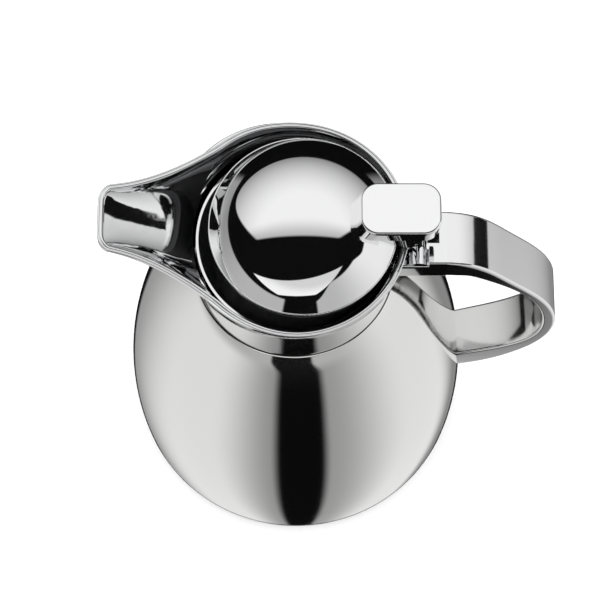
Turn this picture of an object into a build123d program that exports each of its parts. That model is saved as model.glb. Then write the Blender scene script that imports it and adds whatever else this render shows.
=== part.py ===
"""Insulated coffee pot with a thumb-lever lid, in millimetres.

Frame: origin at the centre of the face the pot stands on, +Z up, -X towards the
spout and +X towards the handle. The pot is symmetric about the XZ plane.
"""

from build123d import *

import os
from math import cos, radians, sin, sqrt

# ---- fits -------------------------------------------------------------------------------------
FIT = 0.3              # gap between pieces that slip into one another
HOLE_GAP = 0.1         # radial gap round a screw shank
PIN_GAP = 0.05         # radial running gap of the hinge pin in the lid's knuckle
SEAL_GAP = 0.4         # gap left at the lid's gasket, which is drawn relaxed
SPIGOT_GAP = 0.2       # radial gap between the collar's spigot and the jacket

# ---- jacket, the outer steel body -------------------------------------------------------------
BODY_RADIUS = 75.0     # at its widest
BODY_WIDEST_Z = 27.0
SHOULDER_IN = 12.8     # how far the side draws in up to where the shoulder starts
SHOULDER_DROP = 42.0   # start of the shoulder, below the neck
NECK_Z = 160.0         # top of the jacket, where the collar sits
NECK_SLOPE = 58.0      # degrees from vertical where the shoulder meets the neck
NECK_LAND = 5.2        # width of the flat landing inside the neck
JACKET_WALL = 1.2
JACKET_FOOT_Z = 6.0    # lower edge of the jacket

# ---- foot -------------------------------------------------------------------------------------
RING_INSET = 1.0       # step from the jacket in to the base ring
RING_TAPER = 1.0
RING_WALL = 2.8
RING_BOTTOM_Z = 1.2
LEDGE_WIDTH = 19.0
LEDGE_THICK = 1.6
PLATE_THICK = 3.0      # base plate
FOOT_WIDTH = 5.0       # rubber foot
FOOT_INSET = 1.4
FOOT_GROOVE = 1.5
FOOT_ROUND = 0.6
BUTTON_RADIUS = 11.0   # rubber button in the middle of the foot
BASE_SCREW_COUNT = 3
BASE_SCREW_INSET = 10.0  # screw circle, in from the ledge's outer edge
BOSS_RADIUS = 4.0
BOSS_HEIGHT = 7.0
BOSS_ROOF = 1.0        # left above the end of the screw

# ---- vacuum liner -----------------------------------------------------------------------------
LINER_CLEARANCE = 6.2        # liner inside the narrow end of the jacket's side
LINER_FLOOR_Z = 14.0
LINER_CROWN_DROP = 15.0      # top of the liner's shoulder, below the neck
LINER_SWEEP = 4.5            # radius of the fillet from the liner's shoulder to its neck
LINER_CORNER = 28.0
LINER_GLASS = 2.0
LINER_BODY_GAP = 3.0         # evacuated space
LINER_NECK_GAP = 1.5
MOUTH_RADIUS = 23.0          # bore of the neck
LIP_HEIGHT = 2.0
TIP_RADIUS = 3.5
TIP_LENGTH = 5.0
SPACER_COUNT = 3
SPACER_SIZE = 8.0
SPACER_Z = 60.0
CUSHION_BORE = 12.0
CUSHION_INSET = 1.0          # cushion inside the flat of the liner's floor
CUSHION_RAIL = 2.5
CUSHION_RAIL_HEIGHT = 5.0
SEAL_THICK = 2.0             # rubber between the liner's lip and the collar
SEAL_SKIRT = 6.0
SEAL_LIP = 0.5               # seal's bore outside the mouth

# ---- collar, throat and spout -----------------------------------------------------------------
NECK_WIDTH = 18.0            # neck of the jacket, out from the liner's mouth
COLLAR_FLARE = 4.6           # rim, out from the neck
COLLAR_HEIGHT = 37.3         # rim, above the neck
COLLAR_BULGE = 1.0           # how far the collar's side bows inwards
COLLAR_WALL = 2.5
THROAT_RISE = 19.0           # top of the collar's floor, above the neck
THROAT_FLOOR = 3.0
THROAT_STEP = 1.5            # hole in the floor, outside the mouth
RIM_BEVEL = 0.55
NECK_BEVEL = 0.6             # groove between collar and jacket
RIM_EASING = 11.4            # length over which the level rim bends into the spout's edge
POCKET_FLOOR = 3.0
SPIGOT_WALL = 3.4
SPIGOT_DROP = 9.0
NUT_WIDTH = 3.4
NUT_HEIGHT = 6.0
NUT_NOTCH_COUNT = 6
NUT_NOTCH_HALF = 2.0
STEP_COUNT = 3               # fine steps turned inside the rim
STEP_PITCH = 2.4
STEP_DEPTH = 0.5
SPOUT_OUT = 31.5             # tip of the spout, out from the rim
SPOUT_RISE = 0.165           # slope of the pouring edge
SPOUT_ROOT_IN = 15.5         # start of the spout's taper, in from the rim
SPOUT_BACK_IN = 23.7         # start of the channel inside the collar, in from the rim
SPOUT_TIP_HALF = 13.8
SPOUT_TIP_SPREAD = 1.65
SPOUT_FLARE = 1.75           # how fast the spout's plan widens towards the collar
SPOUT_CORNER = 8.8
SPOUT_SIDE_LENGTH = 13.0     # straight trim behind each corner
SPOUT_SIDE_WIDTH = 43.8
SPOUT_KEEL_DROP = 26.0       # depth of the keel below the edge at the collar
SPOUT_TIP_DEPTH = 4.6
SPOUT_STATIONS = 7
INSERT_CONE = 5.0            # rise of the pouring cone
INSERT_LIP = 2.0
INSERT_RIM = 1.0

# ---- lid --------------------------------------------------------------------------------------
LID_X = 3.5                  # the lid's axis lies a little towards the hinge
LID_INSET = 8.0              # lid's edge inside the rim
LID_EDGE_RISE = 3.6          # lid's edge above the rim
LID_RIM_THICK = 1.6
LID_RIM_WIDTH = 3.2
DOME_INSET = 0.5
DOME_HEIGHT = 17.0
DOME_WALL = 1.2
LID_BASE_THICK = 2.4
PLUG_SPREAD = 0.2            # plug's body outside the mouth
PLUG_STEP = 0.6              # drawn in below its shoulder
PLUG_SHOULDER = 1.0          # height of that shoulder
PLUG_FOOT_GAP = 3.0          # plug's foot inside the mouth
PLUG_DEPTH = 4.0             # plug's foot below the mouth
PLUG_WALL = 2.0
GASKET_WIDTH = 5.3
GASKET_THICK = 3.0
FOAM_GAP = 1.0

# ---- hinge ------------------------------------------------------------------------------------
HINGE_OUT = 4.0              # hinge axis, out from the rim
HINGE_DROP = 4.0             # hinge axis, below the top of the bracket
PIN_RADIUS = 1.6
PIN_END_WALL = 1.0           # bracket wall over the pin's blind end
PIN_BORE_RUN = 2.0           # bore carried on through the far wall
KNUCKLE_RADIUS = 3.5
TONGUE_HALF = 3.3
BRACKET_END = 15.4           # bracket's outer face, out from the rim
BRACKET_HALF = 11.5
BRACKET_TOP_DROP = 10.3      # bracket top below the rim
BRACKET_THICK = 14.0
BRACKET_ROUND = 1.2
BRACKET_SCREW_LENGTH = 10.4
BRACKET_SCREW_SPREAD = 7.5
BRACKET_SCREW_SINK = 1.0     # seat of the screw heads in the collar's wall
BARREL_RADIUS = 3.7          # outside of the hinge barrel
BARREL_GAP = 0.6             # groove between the barrel and the bracket's flat top
BARREL_GROOVE = 3.4          # depth of that groove
SLOT_REACH = 8.4             # end of the tongue's slot, beyond the hinge axis
RIM_CLEARANCE = 1.0          # lid arm over the rim
RIM_GAP = 0.4                # lid arm outside the rim
SPRING_WIRE = 0.7
SPRING_COIL = 2.3            # radius of the coil's centre line
SPRING_PITCH = 0.95
SPRING_LENGTH = 4.75

# ---- thumb plate and lid arm ------------------------------------------------------------------
THUMB_LENGTH = 31.0
THUMB_HALF = 10.9
THUMB_OVERHANG = 7.6         # beyond the hinge axis
THUMB_RISE = 21.7            # top face above the rim
THUMB_THICK = 6.6
THUMB_CORNER = 7.0
THUMB_LEAN = 2.4             # slope of the end that faces the dome
THUMB_ROUND = 1.2
ARM_HALF = 8.8
ARM_SEAT_IN = 1.4            # arm's front face, in from the plate's top edge
ARM_BELLY = 4.7              # depth of the arm under the plate at the hinge
ARM_TAIL_IN = 3.0            # arm's end, in from the plate's end
ARM_TAIL_DEPTH = 1.5
ARM_LAP = 1.0                # overlap of arm and tongue
TONGUE_ROOT = 3.0            # length of that overlap along the arm
TONGUE_NECK = 0.5            # back of the tongue over the rim, beyond the hinge axis
TONGUE_HEEL_OUT = 2.0
TONGUE_HEEL_RISE = 2.8
DOME_SCREW_IN = 11.3         # in from the lid's edge
DOME_SCREW_SPREAD = 4.7
DOME_SCREW_SINK = 1.56       # seat of the screw heads under the dome's surface
ARM_SCREW_SPREAD = 5.9
ARM_SCREW_IN = 1.0           # in from the hinge axis
ARM_SCREW_DEPTH = 3.0        # seat of the heads under the plate

# ---- handle -----------------------------------------------------------------------------------
GRIP_OUT = 36.3              # outermost point of the handle, out from the body
GRIP_FOOT_Z = 56.9           # centre of the lower joint
GRIP_ROOT_THICK = 13.2
GRIP_BEND_THICK = 5.8
GRIP_FOOT_REACH = 9.9        # half the height of the lower joint
GRIP_FOOT_SINK = 4.0         # foot drawn into the jacket before it is trimmed to it
GRIP_HALF = 11.5             # half the ribbon's width at the top
GRIP_FOOT_HALF = 6.9
GRIP_TAPER_DROP = 23.0       # where the ribbon's taper ends, below the lower joint
GRIP_ROUND = 1.2
GRIP_OUTER_CURVE = ((0.52, 0.31), (0.85, 0.69))     # shares of the loop's reach and of its drop
GRIP_OUTER_RETURN = ((0.0, 0.11), (0.135, 0.586), (0.35, 0.84))     # shares back from the reach and below the middle
GRIP_INNER_RISE = ((0.268, -0.625), (0.074, -0.445), (0.0, -0.076))
GRIP_INNER_CURVE = ((0.765, 0.29), (0.475, 0.60))
GRIP_INNER_ROOT = (0.21, 0.025)
FOOT_PLATE_THICK = 2.0       # backing plate inside the jacket
FOOT_PLATE_HALF = 10.9
FOOT_SCREW_LENGTH = 8.5
FOOT_SCREW_SPREAD = 4.0
FOOT_SCREW_RISE = 1.5        # middle of the screws, above the lower joint
TENON_LENGTH = 9.0
TENON_ROOT = 1.0             # tenon carried on into the ribbon
TENON_HALF = 5.6
TENON_THICK = 4.0
TENON_FLOOR = 1.8            # bracket wall under the tenon

# ---- screws -----------------------------------------------------------------------------------
SCREW_RADIUS = 1.5
HEAD_RADIUS = 2.7
HEAD_HEIGHT = 1.7
HEAD_ROOM = 1.0              # foam kept clear round a screw head

# ---- sizes that follow from the ones above ----------------------------------------------------
SHOULDER_Z = NECK_Z - SHOULDER_DROP
SHOULDER_RISE = SHOULDER_Z - BODY_WIDEST_Z
SHOULDER_RADIUS = BODY_RADIUS - SHOULDER_IN
SIDE_ARC_RADIUS = (SHOULDER_RISE**2 + SHOULDER_IN**2) / (2 * SHOULDER_IN)
NECK_RADIUS = MOUTH_RADIUS + NECK_WIDTH
RIM_RADIUS = NECK_RADIUS + COLLAR_FLARE
RIM_Z = NECK_Z + COLLAR_HEIGHT
THROAT_Z = NECK_Z + THROAT_RISE
THROAT_HOLE = MOUTH_RADIUS + THROAT_STEP
SEAL_TOP = THROAT_Z - THROAT_FLOOR
MOUTH_Z = SEAL_TOP - SEAL_THICK
LINER_RADIUS = SHOULDER_RADIUS - LINER_CLEARANCE
LINER_NECK_OUTER = MOUTH_RADIUS + 2 * LINER_GLASS + LINER_NECK_GAP
LINER_THROAT_RADIUS = LINER_NECK_OUTER + LINER_SWEEP
LINER_SHOULDER_Z = NECK_Z - LINER_CROWN_DROP - (LINER_RADIUS - LINER_THROAT_RADIUS)
CUSHION_RADIUS = LINER_RADIUS - LINER_CORNER - CUSHION_INSET
SPIGOT_RADIUS = NECK_RADIUS - NECK_LAND - SPIGOT_GAP
SPOUT_REACH = RIM_RADIUS + SPOUT_OUT
SPOUT_ROOT_X = SPOUT_ROOT_IN - RIM_RADIUS
SPOUT_BACK_X = SPOUT_BACK_IN - RIM_RADIUS
LEDGE_TOP = JACKET_FOOT_Z + LEDGE_THICK
PLATE_BOTTOM = JACKET_FOOT_Z - PLATE_THICK
LID_RADIUS = RIM_RADIUS - LID_INSET
LID_EDGE_Z = RIM_Z + LID_EDGE_RISE
LID_BASE_BOTTOM = LID_EDGE_Z - LID_RIM_THICK - LID_BASE_THICK
PLUG_RADIUS = MOUTH_RADIUS + PLUG_SPREAD
PLUG_FOOT_RADIUS = MOUTH_RADIUS - PLUG_FOOT_GAP
PLUG_BOTTOM_Z = MOUTH_Z - PLUG_DEPTH
GASKET_RADIUS = PLUG_RADIUS + GASKET_WIDTH
HINGE_X = RIM_RADIUS + HINGE_OUT
BRACKET_TOP = RIM_Z - BRACKET_TOP_DROP
HINGE_Z = BRACKET_TOP - HINGE_DROP
BRACKET_X = RIM_RADIUS + BRACKET_END
BRACKET_BOTTOM = BRACKET_TOP - BRACKET_THICK
THUMB_TOP = RIM_Z + THUMB_RISE
THUMB_BOTTOM = THUMB_TOP - THUMB_THICK
THUMB_END = HINGE_X + THUMB_OVERHANG
GRIP_REACH = BODY_RADIUS + GRIP_OUT
COLLAR_ABOVE = RIM_RADIUS / 2      # length by which the collar's side is drawn on above the rim
BIG = 400.0                        # reach of a cutting solid that has to pass everything


def side_radius(z, inset=0.0):
    """Radius of the jacket's side arc at height z, moved in by inset."""
    arc = SIDE_ARC_RADIUS - inset
    return BODY_RADIUS - SIDE_ARC_RADIUS + sqrt(arc**2 - (z - BODY_WIDEST_Z) ** 2)


def outline_face(edges, plane):
    """Face bounded by edges and wires that are drawn in a plane's own coordinates."""
    return plane * make_face([edge for part in edges for edge in part.edges()])


def turned(*edges):
    """Solid turned about the vertical axis from edges drawn as (radius, height)."""
    return revolve(outline_face(edges, Plane.XZ), Axis.Z)


def ring(inner, outer, low, high, x=0.0):
    """Plain ring, or a disc where inner is 0."""
    body = Cylinder(outer, high - low)
    if inner > 0:
        body -= Cylinder(inner, high - low)
    return Pos(x, 0, (low + high) / 2) * body


def block(x0, x1, y0, y1, z0, z1):
    """Box between two corners."""
    return Pos((x0 + x1) / 2, (y0 + y1) / 2, (z0 + z1) / 2) * Box(x1 - x0, y1 - y0, z1 - z0)


def slab(edges, half):
    """Solid from edges drawn in the XZ plane, as thick as half to each side of it."""
    return extrude(outline_face(edges, Plane.XZ), half, both=True)


def screw(length, gap=0.0):
    """Pan-head screw along +Z from the underside of its head; gap makes its hole."""
    head = Pos(0, 0, -HEAD_HEIGHT / 2) * Cylinder(HEAD_RADIUS + gap, HEAD_HEIGHT)
    return head + Pos(0, 0, length / 2) * Cylinder(SCREW_RADIUS + gap, length)


def group(places, shape):
    """Copies of one shape, as one set of separate solids."""
    return Compound(children=[place * shape for place in places])


def round_edges(body, radius):
    """The round edges of a turned piece that have the given radius."""
    circles = body.edges().filter_by(GeomType.CIRCLE)
    return circles.filter_by(lambda edge: abs(edge.radius - radius) < 0.01)


def cut_all(body, tools):
    """Body with each of the tools cut from it."""
    for tool in tools:
        body -= tool
    return body


# ---- jacket -----------------------------------------------------------------------------------


def jacket_surface(inset=0.0, low=JACKET_FOOT_Z, high=NECK_Z):
    """Edges of the jacket's side, moved in by inset, from its foot up to its neck."""
    arc = SIDE_ARC_RADIUS - inset
    centre_x = BODY_RADIUS - SIDE_ARC_RADIUS
    lean = SHOULDER_RISE / arc
    start = (centre_x + sqrt(arc**2 - (low - BODY_WIDEST_Z) ** 2), low)
    middle = (centre_x + arc, BODY_WIDEST_Z)
    shoulder = (centre_x + sqrt(arc**2 - SHOULDER_RISE**2), SHOULDER_Z)
    slope = radians(NECK_SLOPE)
    neck = (NECK_RADIUS - inset * cos(slope), high - inset * sin(slope))
    side = ThreePointArc(start, middle, shoulder)
    top = Spline(shoulder, neck, tangents=[(-lean, sqrt(1 - lean**2)), (-sin(slope), cos(slope))])
    return start, neck, [side, top]


def jacket_core(inset=0.0):
    """Solid that fills the jacket's side surface."""
    start, neck, edges = jacket_surface(inset)
    outline = [Polyline(neck, (0, neck[1]), (0, start[1]), start)]
    return turned(*edges, *outline)


def make_jacket():
    """Steel body with a flat landing round the hole in its neck."""
    landing = NECK_RADIUS - NECK_LAND
    shell = jacket_core() - jacket_core(JACKET_WALL)
    shell -= ring(0, landing, NECK_Z - 3 * JACKET_WALL, NECK_Z + 1)
    land = ring(landing, NECK_RADIUS - JACKET_WALL, NECK_Z - JACKET_WALL, NECK_Z)
    return cut_all(shell + land, handle_foot_holes())


# ---- foot -------------------------------------------------------------------------------------


def ring_outer():
    """Outer radius of the base ring."""
    return side_radius(JACKET_FOOT_Z) - RING_INSET


def base_screw_places():
    """Seats of the base screws, evenly round the foot."""
    circle = ring_outer() - RING_WALL - BASE_SCREW_INSET
    return [
        Rot(0, 0, 360 / BASE_SCREW_COUNT * i) * Pos(circle, 0, PLATE_BOTTOM + HEAD_HEIGHT)
        for i in range(BASE_SCREW_COUNT)
    ]


def base_screw_length():
    """Length of a base screw, ending inside its boss."""
    return LEDGE_TOP + BOSS_HEIGHT - BOSS_ROOF - PLATE_BOTTOM - HEAD_HEIGHT


def make_base_ring():
    """Trim ring under the jacket, with the ledge and bosses that take the base plate."""
    outer = ring_outer()
    ledge_outer = side_radius(JACKET_FOOT_Z, JACKET_WALL) - HOLE_GAP
    wall = turned(
        Polyline(
            (outer - RING_WALL, RING_BOTTOM_Z),
            (outer - RING_TAPER, RING_BOTTOM_Z),
            (outer, JACKET_FOOT_Z),
            (outer - RING_WALL, JACKET_FOOT_Z),
            close=True,
        )
    )
    ledge = ring(outer - LEDGE_WIDTH, ledge_outer, JACKET_FOOT_Z, LEDGE_TOP)
    body = wall + ledge
    hole = screw(base_screw_length(), HOLE_GAP)
    for place in base_screw_places():
        boss = Cylinder(BOSS_RADIUS, BOSS_HEIGHT)
        spot = place.position
        body += Pos(spot.X, spot.Y, LEDGE_TOP + BOSS_HEIGHT / 2) * boss
    return cut_all(body, [place * hole for place in base_screw_places()])


def make_base_plate():
    """Moulded plate that closes the foot and centres the liner's cushion."""
    outer = ring_outer() - RING_WALL - FIT
    plate = ring(0, outer, PLATE_BOTTOM, JACKET_FOOT_Z)
    foot_outer = outer - FOOT_INSET
    groove_top = PLATE_BOTTOM + FOOT_GROOVE
    plate -= ring(foot_outer - FOOT_WIDTH, foot_outer, PLATE_BOTTOM, groove_top)
    plate -= ring(0, BUTTON_RADIUS, PLATE_BOTTOM, groove_top)
    rail = CUSHION_RADIUS + FIT
    plate += ring(rail, rail + CUSHION_RAIL, JACKET_FOOT_Z, JACKET_FOOT_Z + CUSHION_RAIL_HEIGHT)
    hole = screw(base_screw_length(), HOLE_GAP)
    return cut_all(plate, [place * hole for place in base_screw_places()])


def make_foot_pad():
    """Rubber ring and middle button that the pot stands on."""
    outer = ring_outer() - RING_WALL - FIT - FOOT_INSET
    top = PLATE_BOTTOM + FOOT_GROOVE
    pads = [ring(outer - FOOT_WIDTH, outer, 0, top), ring(0, BUTTON_RADIUS, 0, top)]
    return Compound(
        children=[fillet(pad.edges().group_by(Axis.Z)[0], FOOT_ROUND) for pad in pads]
    )


def make_base_screws():
    """Screws that hold the base plate."""
    return group(base_screw_places(), screw(base_screw_length()))


# ---- liner ------------------------------------------------------------------------------------


def liner_fill(inset, neck, top):
    """Solid that fills the liner's outer surface moved in by inset, up to top in its neck."""
    floor = LINER_FLOOR_Z + inset
    wall = LINER_RADIUS - inset
    corner = LINER_CORNER - inset
    crown = LINER_SHOULDER_Z + wall - LINER_THROAT_RADIUS
    sweep = LINER_THROAT_RADIUS - neck
    bend = sqrt(0.5)
    return turned(
        Line((0, floor), (wall - corner, floor)),
        ThreePointArc(
            (wall - corner, floor),
            (wall - corner + corner * bend, floor + corner - corner * bend),
            (wall, floor + corner),
        ),
        Line((wall, floor + corner), (wall, LINER_SHOULDER_Z)),
        ThreePointArc(
            (wall, LINER_SHOULDER_Z),
            (
                LINER_THROAT_RADIUS + (wall - LINER_THROAT_RADIUS) * bend,
                LINER_SHOULDER_Z + (wall - LINER_THROAT_RADIUS) * bend,
            ),
            (LINER_THROAT_RADIUS, crown),
        ),
        ThreePointArc(
            (LINER_THROAT_RADIUS, crown),
            (LINER_THROAT_RADIUS - sweep * bend, crown + sweep - sweep * bend),
            (neck, crown + sweep),
        ),
        Polyline((neck, crown + sweep), (neck, top), (0, top), (0, floor)),
    )


def make_liner_outer_wall():
    """Outer flask of the vacuum liner."""
    top = MOUTH_Z - LIP_HEIGHT
    outside = liner_fill(0, LINER_NECK_OUTER, top)
    return outside - liner_fill(LINER_GLASS, LINER_NECK_OUTER - LINER_GLASS, top)


def make_liner_inner_wall():
    """Inner flask, with the lip that closes the evacuated space at the mouth."""
    inset = LINER_GLASS + LINER_BODY_GAP
    flask = liner_fill(inset, MOUTH_RADIUS + LINER_GLASS, MOUTH_Z)
    flask += ring(0, LINER_NECK_OUTER, MOUTH_Z - LIP_HEIGHT, MOUTH_Z)
    flask -= liner_fill(inset + LINER_GLASS, MOUTH_RADIUS, MOUTH_Z)
    return fillet(flask.edges().group_by(Axis.Z)[-1], LIP_HEIGHT / 3)


def make_liner_tip():
    """Sealed glass nipple under the liner."""
    stem = TIP_LENGTH - TIP_RADIUS
    tip = ring(0, TIP_RADIUS, LINER_FLOOR_Z - stem, LINER_FLOOR_Z)
    ball = Pos(0, 0, LINER_FLOOR_Z - stem) * Sphere(TIP_RADIUS)
    return tip + ball - ring(0, LINER_RADIUS, LINER_FLOOR_Z, LINER_FLOOR_Z + TIP_LENGTH)


def make_liner_spacers():
    """Pads that hold the two glass walls apart."""
    outer = LINER_RADIUS - LINER_GLASS
    half = SPACER_SIZE / 2
    band = ring(outer - LINER_BODY_GAP, outer, SPACER_Z - half, SPACER_Z + half)
    pad = band & block(0, LINER_RADIUS, -half, half, SPACER_Z - half, SPACER_Z + half)
    turns = [Rot(0, 0, 360 / SPACER_COUNT * (i + 0.5)) for i in range(SPACER_COUNT)]
    return group(turns, pad)


def make_liner_cushion():
    """Rubber ring under the liner, round its tip."""
    return ring(CUSHION_BORE, CUSHION_RADIUS, JACKET_FOOT_Z, LINER_FLOOR_Z)


def make_neck_seal():
    """Rubber cap ring between the liner's lip and the collar."""
    inner = MOUTH_RADIUS + SEAL_LIP
    skirt = SPIGOT_RADIUS - SPIGOT_WALL - FIT
    cap = ring(inner, skirt, MOUTH_Z, SEAL_TOP)
    return cap + ring(LINER_NECK_OUTER + FIT, skirt, MOUTH_Z - SEAL_SKIRT, MOUTH_Z)


# ---- collar and spout -------------------------------------------------------------------------


def collar_fill(inset, low, high):
    """Solid that fills the collar's side surface between two heights."""
    arc = ThreePointArc(
        (NECK_RADIUS - inset, NECK_Z),
        ((NECK_RADIUS + RIM_RADIUS) / 2 - COLLAR_BULGE - inset, (NECK_Z + RIM_Z) / 2),
        (RIM_RADIUS - inset, RIM_Z),
    )
    flare = Line(arc @ 1, arc @ 1 + (arc % 1) * COLLAR_ABOVE)
    top = flare @ 1
    whole = turned(arc, flare, Polyline(top, (0, top.Y), (0, NECK_Z), arc @ 0))
    return whole & ring(0, BIG, low, high)


def edge_height(x):
    """Height of the pouring edge at x, level behind the axis and rising towards the tip."""
    return RIM_Z + SPOUT_RISE * max(0.0, -x)


def spout_station(share, inset):
    """U-shaped section of the spout, from share 0 at the collar to 1 at the tip."""
    x = SPOUT_ROOT_X - share * (SPOUT_REACH + SPOUT_ROOT_X)
    root_half = sqrt(RIM_RADIUS**2 - SPOUT_ROOT_X**2)
    half = SPOUT_TIP_HALF + (root_half - SPOUT_TIP_HALF) * (1 - share) ** SPOUT_FLARE - inset
    depth = SPOUT_KEEL_DROP + (SPOUT_TIP_DEPTH - SPOUT_KEEL_DROP) * share
    return station_face(x, half, depth - inset)


def station_face(x, half, depth):
    """U-shaped face in the plane at x, open well above the rim."""
    top = RIM_Z + RIM_RADIUS
    edge = edge_height(x)
    plane = Plane(origin=(x, 0, 0), x_dir=(0, 1, 0), z_dir=(1, 0, 0))
    bowl = EllipticalCenterArc((0, edge), half, depth, start_angle=180, arc_size=180)
    sides = Polyline((half, edge), (half, top), (-half, top), (-half, edge))
    return outline_face([bowl, sides], plane)


def spout_fill(inset):
    """Solid that fills the spout, moved in by inset, reaching back into the collar."""
    root_half = sqrt(RIM_RADIUS**2 - SPOUT_BACK_X**2) - COLLAR_WALL - inset
    root = station_face(SPOUT_BACK_X, root_half, SPOUT_KEEL_DROP - inset)
    shares = [i / (SPOUT_STATIONS - 1) for i in range(SPOUT_STATIONS)]
    return loft([root] + [spout_station(share, inset) for share in shares])


def tip_trim(inset):
    """Prism that rounds the spout's two corners in plan."""
    half = SPOUT_TIP_HALF + SPOUT_TIP_SPREAD - inset
    reach = SPOUT_REACH - inset
    corner = SPOUT_CORNER - inset
    bend = corner * (1 - sqrt(0.5))
    start = corner - reach
    wide = SPOUT_TIP_HALF + SPOUT_TIP_SPREAD + SPOUT_SIDE_WIDTH
    side_x = SPOUT_CORNER + SPOUT_SIDE_LENGTH - SPOUT_REACH
    outline = [
        Line((-reach, -half + corner), (-reach, half - corner)),
        ThreePointArc((-reach, half - corner), (-reach + bend, half - bend), (start, half)),
        Polyline((start, half), (side_x, wide), (BIG, wide), (BIG, -wide), (side_x, -wide), (start, -half)),
        ThreePointArc((start, -half), (-reach + bend, -half + bend), (-reach, -half + corner)),
    ]
    return extrude(outline_face(outline, Plane.XY), RIM_Z * 2)


def under_rim():
    """Everything under the pouring edge: level behind, rising towards the tip."""
    far = (-BIG, edge_height(-BIG))
    front = (-RIM_EASING, edge_height(-RIM_EASING))
    back = (RIM_EASING, RIM_Z)
    crest = ThreePointArc(front, (0, RIM_Z + SPOUT_RISE * RIM_EASING / 4), back)
    rest = Polyline(back, (BIG, RIM_Z), (BIG, -BIG), (-BIG, -BIG), far)
    return slab([Line(far, front), crest, rest], BIG)


def rim_edges(body):
    """The edges along the top of the rim and the spout."""
    return body.edges().filter_by(
        lambda edge: all(
            (edge @ t).Z > RIM_Z - 0.01 and (edge @ t).Z > edge_height((edge @ t).X) - 0.6
            for t in (0, 0.5, 1)
        )
    )


def make_collar():
    """Collar and spout in one casting, with its floor, screw pocket and threaded spigot."""
    high = RIM_Z + COLLAR_ABOVE
    outside = collar_fill(0, NECK_Z, high) + (spout_fill(0) & tip_trim(0))
    inside = collar_fill(COLLAR_WALL, THROAT_Z, high)
    channel = spout_fill(COLLAR_WALL) & tip_trim(COLLAR_WALL)
    channel -= ring(0, BIG, 0, THROAT_Z)
    body = (outside - inside - channel) & under_rim()
    body = chamfer(rim_edges(body), RIM_BEVEL)
    body = chamfer(round_edges(body, NECK_RADIUS).group_by(Axis.Z)[0], NECK_BEVEL)
    for i in range(STEP_COUNT):
        low = RIM_Z - STEP_PITCH * (i + 1)
        body -= collar_fill(COLLAR_WALL - STEP_DEPTH, low - STEP_PITCH / 2, low)
    pocket = collar_fill(COLLAR_WALL, NECK_Z + POCKET_FLOOR, THROAT_Z)
    pocket -= ring(0, SPIGOT_RADIUS, 0, THROAT_Z)
    body -= pocket
    body += ring(SPIGOT_RADIUS - SPIGOT_WALL, SPIGOT_RADIUS, NECK_Z - SPIGOT_DROP, NECK_Z + 1)
    body -= ring(0, SPIGOT_RADIUS - SPIGOT_WALL, 0, SEAL_TOP)
    body -= ring(0, THROAT_HOLE, 0, THROAT_Z)
    return cut_all(body, bracket_screw_holes())


def make_neck_nut():
    """Ring nut that clamps the collar to the jacket's landing."""
    top = NECK_Z - JACKET_WALL
    nut = ring(SPIGOT_RADIUS + HOLE_GAP, SPIGOT_RADIUS + NUT_WIDTH, top - NUT_HEIGHT, top)
    notch = block(0, BIG, -NUT_NOTCH_HALF, NUT_NOTCH_HALF, top - NUT_HEIGHT, top - NUT_HEIGHT / 2)
    turns = [Rot(0, 0, 360 / NUT_NOTCH_COUNT * i) for i in range(NUT_NOTCH_COUNT)]
    return cut_all(nut, [turn * notch for turn in turns])


def insert_outer():
    """Outer radius of the pouring cone, just inside the collar at its floor."""
    middle = NECK_RADIUS + COLLAR_FLARE * THROAT_RISE / COLLAR_HEIGHT - COLLAR_BULGE
    return middle - COLLAR_WALL - FIT


def make_pour_insert():
    """Conical ring round the mouth, which covers the collar's screw pocket."""
    outer = insert_outer()
    low = THROAT_Z + INSERT_LIP
    high = low + INSERT_CONE
    return turned(
        Polyline(
            (THROAT_HOLE, THROAT_Z), (outer, THROAT_Z), (outer, high),
            (outer - INSERT_RIM, high), (THROAT_HOLE, low), close=True,
        )
    )


# ---- hinge bracket ----------------------------------------------------------------------------


def bracket_screw_places():
    """Seats of the bracket screws, in the collar's wall under its floor."""
    x = insert_outer() + FIT - BRACKET_SCREW_SINK
    z = THROAT_Z - HEAD_RADIUS - FIT
    return [Pos(x, side * BRACKET_SCREW_SPREAD, z) * Rot(0, 90, 0) for side in (-1, 1)]


def bracket_screw_holes():
    """Holes of the bracket screws through collar and bracket."""
    return [place * screw(BRACKET_SCREW_LENGTH, HOLE_GAP) for place in bracket_screw_places()]


def root_screw_place():
    """Seat of the screw that comes up into the handle's tenon."""
    return Pos(BRACKET_X - TENON_LENGTH / 2, 0, BRACKET_BOTTOM)


def root_screw_hole():
    """Hole of that screw through bracket and tenon."""
    return root_screw_place() * screw(TENON_THICK + TENON_FLOOR, HOLE_GAP)


def tenon(gap=0.0):
    """Tongue of the handle inside the bracket, or its pocket when gap is added."""
    low = BRACKET_BOTTOM + TENON_FLOOR
    return block(
        BRACKET_X - TENON_LENGTH - gap, BRACKET_X + TENON_ROOT,
        -TENON_HALF - gap, TENON_HALF + gap,
        low - gap, low + TENON_THICK + gap,
    )


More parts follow.
